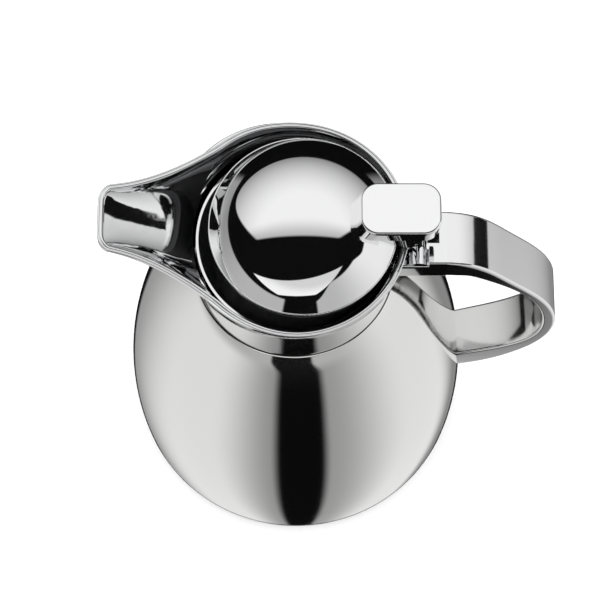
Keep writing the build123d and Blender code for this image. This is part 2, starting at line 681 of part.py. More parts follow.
def make_hinge_bracket():
    """Block between collar and handle, slotted for the lid's tongue."""
    inner = RIM_RADIUS / 2
    flat_x = HINGE_X + BARREL_RADIUS + BARREL_GAP
    groove = BRACKET_TOP - BARREL_GROOVE
    outline = Polyline(
        (inner, BRACKET_BOTTOM), (BRACKET_X, BRACKET_BOTTOM), (BRACKET_X, BRACKET_TOP),
        (flat_x, BRACKET_TOP), (flat_x, groove), (inner, groove), close=True,
    )
    body = slab([outline], BRACKET_HALF)
    long_edges = body.edges().filter_by(Axis.X)
    body = fillet(long_edges, BRACKET_ROUND) + hinge_rod(BARREL_RADIUS, BRACKET_HALF - BRACKET_ROUND / 2)
    body -= collar_fill(0, NECK_Z, RIM_Z)
    slot_end = HINGE_X + SLOT_REACH
    slot_low = HINGE_Z - KNUCKLE_RADIUS - FIT
    half = TONGUE_HALF + FIT
    body -= block(inner, slot_end, -half, half, slot_low, BRACKET_TOP + FIT)
    body -= pin_bore()
    body -= tenon(HOLE_GAP)
    body -= spring_pocket()
    return cut_all(body, [*bracket_screw_holes(), root_screw_hole()])


def hinge_rod(radius, half):
    """Rod on the hinge axis, half long to each side."""
    return Pos(HINGE_X, 0, HINGE_Z) * Rot(90, 0, 0) * Cylinder(radius, 2 * half)


def pin_half():
    """Half the length of the hinge pin."""
    return BRACKET_HALF - PIN_END_WALL


def pin_bore():
    """Bore of the hinge pin, blind on the near side and open on the far one."""
    bore = hinge_rod(PIN_RADIUS, pin_half())
    return bore + Pos(0, PIN_BORE_RUN, 0) * bore


def make_hinge_pin():
    """Plain steel pin across the bracket."""
    return hinge_rod(PIN_RADIUS, pin_half())


def spring_pocket():
    """Room for the return spring beside the tongue."""
    start = TONGUE_HALF + FIT
    length = SPRING_LENGTH + 2 * FIT
    rod = Cylinder(SPRING_COIL + SPRING_WIRE, length)
    return Pos(HINGE_X, start + length / 2, HINGE_Z) * Rot(90, 0, 0) * rod


def make_lid_spring():
    """Torsion spring round the hinge pin."""
    path = Helix(SPRING_PITCH, SPRING_LENGTH - SPRING_WIRE, SPRING_COIL)
    section = Plane(origin=path @ 0, z_dir=path % 0) * Circle(SPRING_WIRE / 2)
    coil = sweep(section, path=path, is_frenet=True)
    start = TONGUE_HALF + 2 * FIT + SPRING_WIRE / 2
    return Pos(HINGE_X, start, HINGE_Z) * Rot(-90, 0, 0) * coil


def make_bracket_screws():
    """Screws from inside the collar into the bracket."""
    return group(bracket_screw_places(), screw(BRACKET_SCREW_LENGTH))


# ---- handle -----------------------------------------------------------------------------------


def grip_outline():
    """Side view of the ribbon: a wide loop, thick at its ends and slim at the bend."""
    top = BRACKET_TOP
    foot = side_radius(GRIP_FOOT_Z) - GRIP_FOOT_SINK
    span = GRIP_REACH - BRACKET_X
    mid = (top + GRIP_FOOT_Z) / 2
    rise = top - mid
    inner_reach = GRIP_REACH - GRIP_BEND_THICK
    root_in, root_drop = GRIP_INNER_ROOT
    outer = Spline(
        (BRACKET_X, top),
        *[(BRACKET_X + share * span, top - drop * rise) for share, drop in GRIP_OUTER_CURVE],
        *[(GRIP_REACH - share * span, mid - drop * rise) for share, drop in GRIP_OUTER_RETURN],
        (foot, GRIP_FOOT_Z - GRIP_FOOT_REACH),
        tangents=[(1, -0.12), (-1, -0.62)],
    )
    inner = Spline(
        (foot, GRIP_FOOT_Z + GRIP_FOOT_REACH),
        *[(inner_reach - share * span, mid + climb * rise) for share, climb in GRIP_INNER_RISE],
        *[(BRACKET_X + share * span, mid + climb * rise) for share, climb in GRIP_INNER_CURVE],
        (BRACKET_X + root_in * span, top - GRIP_ROOT_THICK - root_drop * rise),
        (BRACKET_X, top - GRIP_ROOT_THICK),
        tangents=[(1, 0.62), (-1, 0.06)],
    )
    return [outer, Line(outer @ 1, inner @ 0), inner, Line(inner @ 1, outer @ 0)]


def grip_front():
    """Front view of the ribbon, which narrows towards its foot."""
    low = GRIP_FOOT_Z - GRIP_TAPER_DROP
    knee = (BRACKET_TOP + GRIP_FOOT_Z) / 2
    points = [(GRIP_HALF, RIM_Z), (GRIP_HALF, knee), (GRIP_FOOT_HALF, low)]
    mirrored = [(-y, z) for y, z in reversed(points)]
    bow_out = Spline(points[1], points[2], tangents=[(0, -1), (-0.2, -1)])
    bow_back = Spline(mirrored[0], mirrored[1], tangents=[(-0.2, 1), (0, 1)])
    outline = [
        Line(points[0], points[1]), bow_out, Line(points[2], mirrored[0]), bow_back,
        Line(mirrored[1], mirrored[2]), Line(mirrored[2], points[0]),
    ]
    plane = Plane(origin=(0, 0, 0), x_dir=(0, 1, 0), z_dir=(1, 0, 0))
    return extrude(outline_face(outline, plane), BIG)


def foot_screw_places():
    """Seats of the handle's lower screws, on the backing plate inside the jacket."""
    x = side_radius(GRIP_FOOT_Z, JACKET_WALL) - FOOT_PLATE_THICK - FIT
    z = GRIP_FOOT_Z + FOOT_SCREW_RISE
    return [Pos(x, 0, z + side * FOOT_SCREW_SPREAD) * Rot(0, 90, 0) for side in (-1, 1)]


def handle_foot_holes():
    """Holes of the lower screws through backing plate, jacket and handle."""
    return [place * screw(FOOT_SCREW_LENGTH, HOLE_GAP) for place in foot_screw_places()]


def make_handle():
    """Ribbon handle with its tenon; its foot follows the jacket."""
    ribbon = slab(grip_outline(), 2 * GRIP_HALF) & grip_front()
    long_edges = [
        edge for edge in ribbon.edges()
        if edge.length > GRIP_REACH / 2 and abs((edge @ 0.5).Y) > GRIP_FOOT_HALF / 2
    ]
    ribbon = fillet(long_edges, GRIP_ROUND)
    ribbon -= jacket_core()
    ribbon += tenon()
    ribbon -= root_screw_hole()
    return cut_all(ribbon, handle_foot_holes())


def make_root_screw():
    """Screw from under the bracket into the handle's tenon."""
    return root_screw_place() * screw(TENON_THICK + TENON_FLOOR - FIT)


def make_foot_backing():
    """Curved steel plate inside the jacket behind the handle's foot."""
    skin = jacket_core(JACKET_WALL) - jacket_core(JACKET_WALL + FOOT_PLATE_THICK)
    low = GRIP_FOOT_Z - FOOT_PLATE_HALF
    patch = block(0, BIG, -GRIP_HALF, GRIP_HALF, low, low + 2 * FOOT_PLATE_HALF)
    return cut_all(skin & patch, handle_foot_holes())


def make_foot_screws():
    """Screws from inside the jacket into the handle's foot."""
    return group(foot_screw_places(), screw(FOOT_SCREW_LENGTH))


# ---- lid --------------------------------------------------------------------------------------


def dome_radius(inset=0.0):
    """Radius of the dome's sphere, moved in by inset."""
    chord = LID_RADIUS - DOME_INSET
    return (chord**2 + DOME_HEIGHT**2) / (2 * DOME_HEIGHT) - inset


def dome_fill(inset=0.0):
    """Solid cap under the dome's outer surface moved in by inset."""
    ball = Pos(LID_X, 0, LID_EDGE_Z + DOME_HEIGHT - dome_radius()) * Sphere(dome_radius(inset))
    return ball & ring(0, LID_RADIUS, LID_EDGE_Z, LID_EDGE_Z + DOME_HEIGHT + 1, LID_X)


def make_lid_dome():
    """Thin domed cap of the lid."""
    shell = dome_fill() - dome_fill(DOME_WALL)
    return cut_all(shell, dome_screw_holes())


def make_lid_rim():
    """Flat trim ring that shows as the lid's thin edge."""
    trim = ring(LID_RADIUS - LID_RIM_WIDTH, LID_RADIUS, LID_EDGE_Z - LID_RIM_THICK, LID_EDGE_Z, LID_X)
    return fillet(round_edges(trim, LID_RADIUS), LID_RIM_THICK / 4)


def make_lid_base():
    """Moulded disc that closes the lid from below and carries the plug."""
    top = LID_EDGE_Z - LID_RIM_THICK
    disc = ring(0, LID_RADIUS - DOME_INSET, LID_BASE_BOTTOM, top, LID_X)
    hub = ring(0, LID_RADIUS - LID_RIM_WIDTH - FIT, top, LID_EDGE_Z, LID_X)
    return disc + hub


def make_lid_foam():
    """Insulation that fills the dome."""
    gap = DOME_WALL + FOAM_GAP
    foam = dome_fill(gap) - ring(0, BIG, 0, LID_EDGE_Z + FIT)
    room = Cylinder(HEAD_RADIUS + HEAD_ROOM, 2 * DOME_HEIGHT)
    return cut_all(foam, [place * room for place in dome_screw_places()])


def make_lid_plug():
    """Hollow plug that closes the liner's mouth."""
    step = THROAT_Z + INSERT_LIP + SEAL_GAP

    def cup(inset):
        return turned(
            Polyline(
                (0, PLUG_BOTTOM_Z + inset),
                (PLUG_FOOT_RADIUS - inset, PLUG_BOTTOM_Z + inset),
                (PLUG_RADIUS - PLUG_STEP - inset, step),
                (PLUG_RADIUS - inset, step + PLUG_SHOULDER),
                (PLUG_RADIUS - inset, LID_BASE_BOTTOM),
                (0, LID_BASE_BOTTOM),
                close=True,
            )
        )

    return cup(0) - cup(PLUG_WALL)


def gasket_low():
    """Underside of the gasket, just clear of the pouring cone at its outer edge."""
    slope = INSERT_CONE / (insert_outer() - INSERT_RIM - THROAT_HOLE)
    return THROAT_Z + INSERT_LIP + slope * (GASKET_RADIUS - THROAT_HOLE) + SEAL_GAP


def make_lid_gasket():
    """Silicone ring round the plug that lands on the pouring cone."""
    low = gasket_low()
    gasket = ring(PLUG_RADIUS, GASKET_RADIUS, low, low + GASKET_THICK)
    return fillet(round_edges(gasket, GASKET_RADIUS), GASKET_THICK / 4)


# ---- lever ------------------------------------------------------------------------------------


def dome_screw_places():
    """Seats of the dome screws, under the dome where the arm sits on it."""
    x = LID_X + LID_RADIUS - DOME_SCREW_IN
    rise = sqrt(dome_radius() ** 2 - (x - LID_X + HEAD_RADIUS) ** 2)
    z = LID_EDGE_Z + DOME_HEIGHT - dome_radius() + rise - DOME_SCREW_SINK
    return [Pos(x, side * DOME_SCREW_SPREAD, z) for side in (-1, 1)]


def dome_screw_length():
    """Length of a dome screw, ending halfway up the thumb plate."""
    return THUMB_BOTTOM + THUMB_THICK / 2 - dome_screw_places()[0].position.Z


def dome_screw_holes():
    """Holes of the dome screws through dome, arm and plate."""
    return [place * screw(dome_screw_length(), HOLE_GAP) for place in dome_screw_places()]


def arm_screw_places():
    """Seats of the arm screws, in the arm under the thumb plate."""
    x = HINGE_X - ARM_SCREW_IN
    z = THUMB_BOTTOM - ARM_SCREW_DEPTH
    return [Pos(x, side * ARM_SCREW_SPREAD, z) for side in (-1, 1)]


def arm_screw_length():
    """Length of an arm screw, ending halfway up the thumb plate."""
    return ARM_SCREW_DEPTH + THUMB_THICK / 2


def arm_screw_holes():
    """Holes of the arm screws through arm and plate."""
    return [place * screw(arm_screw_length(), HOLE_GAP) for place in arm_screw_places()]


def lid_pedestal():
    """Wedge under the thumb plate, from the dome out past the rim."""
    over = RIM_Z + RIM_CLEARANCE
    seat_x = THUMB_END - THUMB_LENGTH + ARM_SEAT_IN
    tail_x = THUMB_END - ARM_TAIL_IN
    outline = Polyline(
        (seat_x, THUMB_BOTTOM),
        (seat_x, LID_EDGE_Z),
        (LID_X + LID_RADIUS, LID_EDGE_Z),
        (RIM_RADIUS + RIM_GAP, over + RIM_GAP),
        (HINGE_X, THUMB_BOTTOM - ARM_BELLY),
        (tail_x, THUMB_BOTTOM - ARM_TAIL_DEPTH),
        (tail_x, THUMB_BOTTOM),
        close=True,
    )
    return slab([outline], ARM_HALF) - dome_fill()


def lid_tongue():
    """Tongue that comes down outside the rim to the hinge pin."""
    over = RIM_Z + RIM_CLEARANCE
    face_x = RIM_RADIUS + RIM_GAP
    root_x = face_x - TONGUE_ROOT
    outline = Polyline(
        (root_x, over + ARM_LAP),
        (face_x, over),
        (face_x, HINGE_Z),
        (HINGE_X, HINGE_Z),
        (HINGE_X + TONGUE_HEEL_OUT, HINGE_Z + TONGUE_HEEL_RISE),
        (HINGE_X + TONGUE_NECK, over),
        (HINGE_X + ARM_LAP, THUMB_BOTTOM - ARM_LAP),
        (root_x, THUMB_BOTTOM - ARM_LAP),
        close=True,
    )
    return slab([outline], TONGUE_HALF)


def make_lid_arm():
    """Arm that joins the dome, the thumb plate and the hinge pin."""
    body = lid_pedestal() + lid_tongue() + hinge_rod(KNUCKLE_RADIUS, TONGUE_HALF)
    body -= hinge_rod(PIN_RADIUS + PIN_GAP, BRACKET_HALF)
    return cut_all(body, dome_screw_holes() + arm_screw_holes())


def make_thumb_plate():
    """Rounded thumb plate, whose end leans out towards the dome."""
    top_plan = Pos(THUMB_END - THUMB_LENGTH / 2, 0) * RectangleRounded(
        THUMB_LENGTH, 2 * THUMB_HALF, THUMB_CORNER
    )
    foot_length = THUMB_LENGTH + THUMB_LEAN
    foot_plan = Pos(THUMB_END - foot_length / 2, 0) * RectangleRounded(
        foot_length, 2 * THUMB_HALF, THUMB_CORNER
    )
    plate = loft([Pos(0, 0, THUMB_BOTTOM) * foot_plan, Pos(0, 0, THUMB_TOP) * top_plan])
    plate = fillet(plate.edges().group_by(Axis.Z)[-1], THUMB_ROUND)
    return cut_all(plate - dome_fill(), dome_screw_holes() + arm_screw_holes())


def make_dome_screws():
    """Screws from inside the dome into the thumb plate."""
    return group(dome_screw_places(), screw(dome_screw_length()))


def make_arm_screws():
    """Screws from the arm into the thumb plate."""
    return group(arm_screw_places(), screw(arm_screw_length()))


PIECES = {
    "body_jacket": make_jacket,
    "base_ring": make_base_ring,
    "base_plate": make_base_plate,
    "foot_pad": make_foot_pad,
    "base_screws": make_base_screws,
    "liner_outer_wall": make_liner_outer_wall,
    "liner_inner_wall": make_liner_inner_wall,
    "liner_tip": make_liner_tip,
    "liner_spacers": make_liner_spacers,
    "liner_cushion": make_liner_cushion,
    "neck_seal": make_neck_seal,
    "neck_nut": make_neck_nut,
    "spout_collar": make_collar,
    "pour_insert": make_pour_insert,
    "hinge_bracket": make_hinge_bracket,
    "bracket_screws": make_bracket_screws,
    "hinge_pin": make_hinge_pin,
    "lid_spring": make_lid_spring,
    "handle": make_handle,
    "handle_root_screw": make_root_screw,
    "handle_foot_backing": make_foot_backing,
    "handle_foot_screws": make_foot_screws,
    "lid_dome": make_lid_dome,
    "lid_rim": make_lid_rim,
    "lid_base": make_lid_base,
    "lid_foam": make_lid_foam,
    "lid_plug": make_lid_plug,
    "lid_gasket": make_lid_gasket,
    "lid_arm": make_lid_arm,
    "thumb_plate": make_thumb_plate,
    "dome_screws": make_dome_screws,
    "arm_screws": make_arm_screws,
}


def main():
    """Builds every piece into its own file."""
    os.makedirs("parts", exist_ok=True)
    for name, make in PIECES.items():
        shape = make()
        export_step(shape, f"parts/{name}.step")
        print(name, len(shape.solids()), round(shape.volume, 1))


main()
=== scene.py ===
"""Looks of the insulated coffee pot: polished steel, chromed castings and the studio round them.

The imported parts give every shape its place. Each sub-assembly below dresses its own parts, and
builds finer meshes for the surfaces that show, all in metres and in the parts' own frame: +Z up,
-X towards the spout, +X towards the handle.
"""

from __future__ import annotations

import logging
import math
from dataclasses import dataclass
from enum import Enum
from typing import Any, Mapping, Sequence, Union

import bmesh
import bpy
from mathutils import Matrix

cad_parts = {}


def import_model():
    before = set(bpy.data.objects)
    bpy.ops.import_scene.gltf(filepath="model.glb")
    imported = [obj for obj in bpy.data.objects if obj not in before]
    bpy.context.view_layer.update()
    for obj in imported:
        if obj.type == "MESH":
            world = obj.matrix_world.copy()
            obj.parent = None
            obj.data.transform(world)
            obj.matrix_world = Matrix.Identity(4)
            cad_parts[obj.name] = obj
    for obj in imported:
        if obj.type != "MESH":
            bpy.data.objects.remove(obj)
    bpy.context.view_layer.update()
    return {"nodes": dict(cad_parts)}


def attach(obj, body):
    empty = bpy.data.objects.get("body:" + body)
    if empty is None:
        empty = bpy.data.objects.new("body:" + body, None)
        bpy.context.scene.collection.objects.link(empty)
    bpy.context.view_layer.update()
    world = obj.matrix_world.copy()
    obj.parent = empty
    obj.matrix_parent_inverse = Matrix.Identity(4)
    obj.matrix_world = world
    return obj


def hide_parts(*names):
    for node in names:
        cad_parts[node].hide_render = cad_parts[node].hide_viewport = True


LOG = logging.getLogger("coffee_pot")
MM = 0.001
AXIS_GUARD = 1e-8
SHORTEST = 1e-9
WHITE = (1.0, 1.0, 1.0)

Colour = tuple[float, float, float]
Point = tuple[float, float, float]
Flat = tuple[float, float]
Span = tuple[float, float]
Number = Union[int, float]


# ---- shader expressions -----------------------------------------------------------------------


class Wire:
    """A number that comes out of a node, for use in Python expressions."""

    def __init__(self, graph: "Graph", socket: bpy.types.NodeSocket) -> None:
        """Keeps the socket and the graph that it belongs to."""
        self.graph = graph
        self.socket = socket

    def __add__(self, other: "Term") -> "Wire":
        """Sum of two numbers."""
        return self.graph.math("ADD", self, other)

    __radd__ = __add__

    def __sub__(self, other: "Term") -> "Wire":
        """Difference of two numbers."""
        return self.graph.math("SUBTRACT", self, other)

    def __rsub__(self, other: "Term") -> "Wire":
        """Difference with this number taken away."""
        return self.graph.math("SUBTRACT", other, self)

    def __mul__(self, other: "Term") -> "Wire":
        """Product of two numbers."""
        return self.graph.math("MULTIPLY", self, other)

    __rmul__ = __mul__

    def __truediv__(self, other: "Term") -> "Wire":
        """Quotient of two numbers."""
        return self.graph.math("DIVIDE", self, other)

    def __pow__(self, other: "Term") -> "Wire":
        """Power of a number."""
        return self.graph.math("POWER", self, other)

    def __neg__(self) -> "Wire":
        """The number with its sign turned."""
        return self.graph.math("MULTIPLY", self, -1.0)

    def __abs__(self) -> "Wire":
        """The number without its sign."""
        return self.graph.math("ABSOLUTE", self)

    def clamped(self) -> "Wire":
        """The number held between 0 and 1."""
        return self.graph.math("MINIMUM", self.graph.math("MAXIMUM", self, 0.0), 1.0)


Term = Union[Wire, Number]


class Graph:
    """The node tree of one material or of the surroundings."""

    def __init__(self, tree: bpy.types.NodeTree) -> None:
        """Starts from an empty tree."""
        self.tree = tree
        tree.nodes.clear()

    def node(
        self,
        kind: str,
        settings: Mapping[str, Any] | None = None,
        inputs: Mapping[Any, Any] | None = None,
    ) -> bpy.types.Node:
        """Adds any node.

        Args:
            kind: The node's type.
            settings: Its properties, set before its sockets.
            inputs: Values or wires of its sockets, by name or number.

        Returns:
            The new node.
        """
        made = self.tree.nodes.new(kind)
        for name, value in (settings or {}).items():
            setattr(made, name, value)
        for name, value in (inputs or {}).items():
            self.feed(made.inputs[name], value)
        return made

    def feed(self, socket: bpy.types.NodeSocket, value: Any) -> None:
        """Links or sets one socket.

        Args:
            socket: The input to fill.
            value: A wire, an output socket, a number, or three numbers.
        """
        if isinstance(value, Wire):
            self.tree.links.new(value.socket, socket)
        elif isinstance(value, bpy.types.NodeSocket):
            self.tree.links.new(value, socket)
        elif isinstance(value, tuple) and socket.type == "RGBA":
            socket.default_value = (*value, 1.0)
        else:
            socket.default_value = value

    def math(self, operation: str, *terms: Term) -> Wire:
        """Adds a Math node for one step of an expression.

        Args:
            operation: The Math node's operation.
            terms: Its one, two or three numbers.

        Returns:
            The result.
        """
        made = self.node("ShaderNodeMath", {"operation": operation}, dict(enumerate(terms)))
        return Wire(self, made.outputs[0])

    def ease(self, value: Term, low: Number, high: Number) -> Wire:
        """Smooth step from 0 at low to 1 at high.

        Args:
            value: The number that is followed.
            low: Where the step starts.
            high: Where it is complete.

        Returns:
            The step, between 0 and 1.
        """
        made = self.node(
            "ShaderNodeMapRange",
            {"interpolation_type": "SMOOTHSTEP"},
            {"Value": value, "From Min": low, "From Max": high},
        )
        return Wire(self, made.outputs["Result"])

    def split(self, vector: bpy.types.NodeSocket) -> tuple[Wire, Wire, Wire]:
        """The three parts of a vector."""
        made = self.node("ShaderNodeSeparateXYZ", None, {"Vector": vector})
        return Wire(self, made.outputs[0]), Wire(self, made.outputs[1]), Wire(self, made.outputs[2])

    def join(self, x: Term, y: Term, z: Term) -> bpy.types.NodeSocket:
        """A vector from three numbers."""
        return self.node("ShaderNodeCombineXYZ", None, {0: x, 1: y, 2: z}).outputs[0]

    def noise(self, at: bpy.types.NodeSocket, cloud: "Cloud") -> Wire:
        """Cloudy noise read at a point, about 0.5 on average.

        Args:
            at: The point.
            cloud: The kind of noise.

        Returns:
            The noise.
        """
        made = self.node(
            "ShaderNodeTexNoise",
            {"noise_dimensions": "3D"},
            {
                "Vector": at,
                "Scale": cloud.scale,
                "Detail": cloud.detail,
                "Roughness": cloud.roughness,
                "Distortion": cloud.distortion,
            },
        )
        return Wire(self, made.outputs[0])

    def blend(self, share: Term, first: Colour, second: Colour) -> bpy.types.NodeSocket:
        """Mix of two colours, all second where share is 1.

        Args:
            share: Share of the second colour.
            first: The first colour.
            second: The second colour.

        Returns:
            The mixed colour.
        """
        made = self.node("ShaderNodeMix", {"data_type": "RGBA"})
        self.feed(made.inputs[0], share)
        self.feed(made.inputs[6], first)
        self.feed(made.inputs[7], second)
        return made.outputs[2]

    def bump(self, height: Wire, depth: float) -> bpy.types.NodeSocket:
        """Bumped normal.

        Args:
            height: Height between 0 and 1.
            depth: What a height of 1 means, in metres.

        Returns:
            The normal.
        """
        made = self.node("ShaderNodeBump", None, {"Height": height, "Distance": depth})
        return made.outputs[0]


@dataclass(frozen=True)
class Cloud:
    """One kind of cloudy noise.

    Attributes:
        scale: Features per metre, or per unit of a stretched point.
        detail: Finer layers.
        roughness: Strength of the finer layers.
        distortion: How much it is stirred.
    """

    scale: float
    detail: float = 2.0
    roughness: float = 0.5
    distortion: float = 0.0


@dataclass(frozen=True)
class Step:
    """A change that comes in smoothly between two places.

    Attributes:
        start: Where it starts.
        end: Where it is complete.
        amount: How much it is then.
    """

    start: float
    end: float
    amount: float = 1.0

    def at(self, graph: Graph, place: Term) -> Wire:
        """The change at a place."""
        return graph.ease(place, self.start, self.end) * self.amount


# ---- finishes ---------------------------------------------------------------------------------

POLISHING_HAIRS = Cloud(1.0, 3.0, 0.6)
FINGER_PRINTS = Cloud(34.0, 5.0, 0.62, 1.4)
WIPED_AREAS = Cloud(9.0, 2.0, 0.5, 0.4)
WHEEL_WAVES = Cloud(24.0, 1.0, 0.4)
RUBBED_AREAS = Cloud(42.0, 5.0, 0.65, 0.8)
MOULD_FLOW = Cloud(12.0)
SILVER_CLOUDS = Cloud(60.0, 4.0, 0.6, 0.5)
DRAWN_GLASS = Cloud(16.0, 1.0)
FIBRE_LAY = Cloud(1.0, 4.0, 0.7, 1.0)


class Grain(Enum):
    """Direction of the last polishing marks on a metal piece."""

    TURNED = "round the pot's axis"
    ALONG = "along the ribbon"
    CAST = "no direction"


@dataclass(frozen=True)
class Finish:
    """What every finish has.

    Attributes:
        name: Name of the material.
        slot: Material slot of the part's record.
    """

    name: str
    slot: str

    def shade(self, graph: Graph) -> Mapping[str, Any]:
        """Values and links of the surface shader's sockets.

        Args:
            graph: The material's node tree.

        Returns:
            Each socket by name.
        """
        raise NotImplementedError

    def material(self) -> bpy.types.Material:
        """The finish as a material, made once.

        Returns:
            The material.
        """
        found = bpy.data.materials.get(self.name)
        if found is not None:
            return found
        made = bpy.data.materials.new(self.name)
        made.use_nodes = True
        graph = Graph(made.node_tree)
        surface = graph.node("ShaderNodeBsdfPrincipled", None, self.shade(graph))
        graph.node("ShaderNodeOutputMaterial", None, {"Surface": surface.outputs[0]})
        return made


@dataclass(frozen=True)
class Polished(Finish):
    """Polished or chromed metal with faint polishing marks and handling smudges.

    Attributes:
        colour: Reflected colour of the clean metal.
        haze: Reflected colour where a smudge lies.
        roughness: Roughness of the clean metal.
        smudge: Roughness that a smudge adds.
        marks: Roughness that the polishing marks add.
        grain: Direction of those marks.
        ripple: Depth of the slow waviness left by the wheel, in metres.
        print_edge: Where a print starts to show, on its noise.
        wiped_edge: Where the metal was last wiped, on its noise.
        smudge_haze: Share of the haze that a smudge shows.
        wiped_haze: Share of the haze that a wiped area shows.
        hair_relief: Depth of the polishing marks beside the ripple.
        hair_density: Polishing marks per metre across the grain.
        hair_length: The same along the ribbon.
        turned_length: The same round the pot, per unit of direction.
        cast_density: The same on a casting, in each direction.
    """

    colour: Colour = (0.82, 0.82, 0.815)
    haze: Colour = (0.77, 0.77, 0.76)
    roughness: float = 0.05
    smudge: float = 0.04
    marks: float = 0.03
    grain: Grain = Grain.CAST
    ripple: float = 0.000004
    print_edge: Span = (0.52, 0.74)
    wiped_edge: Span = (0.42, 0.68)
    smudge_haze: float = 0.8
    wiped_haze: float = 0.2
    hair_relief: float = 0.04
    hair_density: float = 900.0
    hair_length: float = 14.0
    turned_length: float = 2.2
    cast_density: float = 220.0

    def marks_at(self, graph: Graph, at: bpy.types.NodeSocket) -> bpy.types.NodeSocket:
        """Point that the polishing marks are read at, drawn out along the grain.

        Args:
            graph: The node tree to work in.
            at: A point of the piece, in the pot's frame.

        Returns:
            The stretched point.
        """
        x, y, z = graph.split(at)
        if self.grain is Grain.TURNED:
            radius = (x * x + y * y + AXIS_GUARD) ** 0.5
            turn = self.turned_length
            return graph.join(x / radius * turn, y / radius * turn, z * self.hair_density)
        if self.grain is Grain.ALONG:
            return graph.join(
                x * self.hair_length, y * self.hair_density, z * self.hair_length
            )
        return graph.join(x * self.cast_density, y * self.cast_density, z * self.cast_density)

    def shade(self, graph: Graph) -> Mapping[str, Any]:
        """Values and links of the surface shader's sockets.

        Args:
            graph: The material's node tree.

        Returns:
            Each socket by name.
        """
        at = graph.node("ShaderNodeTexCoord").outputs["Object"]
        hairs = graph.noise(self.marks_at(graph, at), POLISHING_HAIRS)
        prints = graph.noise(at, FINGER_PRINTS)
        wiped = graph.noise(at, WIPED_AREAS)
        smudges = graph.ease(prints, *self.print_edge) * graph.ease(wiped, *self.wiped_edge)
        slow = graph.noise(at, WHEEL_WAVES)
        haze = smudges * self.smudge_haze + wiped * self.wiped_haze
        roughness = smudges * self.smudge + hairs * self.marks + (self.roughness - self.marks / 2)
        return {
            "Base Color": graph.blend(haze, self.colour, self.haze),
            "Metallic": 1.0,
            "Roughness": roughness,
            "Normal": graph.bump(slow + hairs * self.hair_relief, self.ripple),
        }


@dataclass(frozen=True)
class Moulded(Finish):
    """Moulded plastic, rubber, silicone or foam with a fine pebbled skin.

    Attributes:
        colour: Colour of the clean surface.
        dust: Colour where it is rubbed or dusty.
        roughness: Roughness of the clean surface.
        pebble: Pebbles per metre.
        relief: Depth of the pebbles, in metres.
        rubbed_edge: Where rubbing starts to show, on its noise.
        rubbed_dust: Share of the dust that a rubbed area shows.
        flow_dust: Share of the dust that follows the mould's flow.
        pebble_roughness: Roughness that the pebbles add.
        rubbed_roughness: Roughness that rubbing adds.
        calm: Roughness taken off to make up for both.
    """

    colour: Colour = (0.03, 0.03, 0.03)
    dust: Colour = (0.08, 0.08, 0.08)
    roughness: float = 0.5
    pebble: float = 2600.0
    relief: float = 0.00004
    rubbed_edge: Span = (0.50, 0.78)
    rubbed_dust: float = 0.7
    flow_dust: float = 0.3
    pebble_roughness: float = 0.08
    rubbed_roughness: float = 0.14
    calm: float = 0.06

    def shade(self, graph: Graph) -> Mapping[str, Any]:
        """Values and links of the surface shader's sockets.

        Args:
            graph: The material's node tree.

        Returns:
            Each socket by name.
        """
        at = graph.node("ShaderNodeTexCoord").outputs["Object"]
        pebbles = graph.noise(at, Cloud(self.pebble, roughness=0.55))
        rubbed = graph.ease(graph.noise(at, RUBBED_AREAS), *self.rubbed_edge)
        dust = rubbed * self.rubbed_dust + graph.noise(at, MOULD_FLOW) * self.flow_dust
        worn = pebbles * self.pebble_roughness + rubbed * self.rubbed_roughness
        return {
            "Base Color": graph.blend(dust, self.colour, self.dust),
            "Roughness": worn + (self.roughness - self.calm),
            "Normal": graph.bump(pebbles, self.relief),
        }


@dataclass(frozen=True)
class SilveredGlass(Finish):
    """Glass silvered from behind, with a few clouded patches in the silver.

    Attributes:
        silver: Reflected colour.
        cloud: Colour of the clouded patches.
        cloud_edge: Where a patch starts to show, on its noise.
        metallic: How metallic the clear silver is.
        metallic_loss: What a patch takes off that.
        roughness: Roughness of the clear silver.
        cloud_roughness: Roughness that a patch adds.
        waviness: Depth of the drawn glass's waves, in metres.
    """

    silver: Colour = (0.83, 0.84, 0.85)
    cloud: Colour = (0.60, 0.60, 0.58)
    cloud_edge: Span = (0.55, 0.8)
    metallic: float = 0.92
    metallic_loss: float = 0.25
    roughness: float = 0.06
    cloud_roughness: float = 0.2
    waviness: float = 0.00003

    def shade(self, graph: Graph) -> Mapping[str, Any]:
        """Values and links of the surface shader's sockets.

        Args:
            graph: The material's node tree.

        Returns:
            Each socket by name.
        """
        at = graph.node("ShaderNodeTexCoord").outputs["Object"]
        clouds = graph.ease(graph.noise(at, SILVER_CLOUDS), *self.cloud_edge)
        return {
            "Base Color": graph.blend(clouds, self.silver, self.cloud),
            "Metallic": self.metallic - clouds * self.metallic_loss,
            "Roughness": clouds * self.cloud_roughness + self.roughness,
            "Coat Weight": 1.0,
            "Normal": graph.bump(graph.noise(at, DRAWN_GLASS), self.waviness),
        }


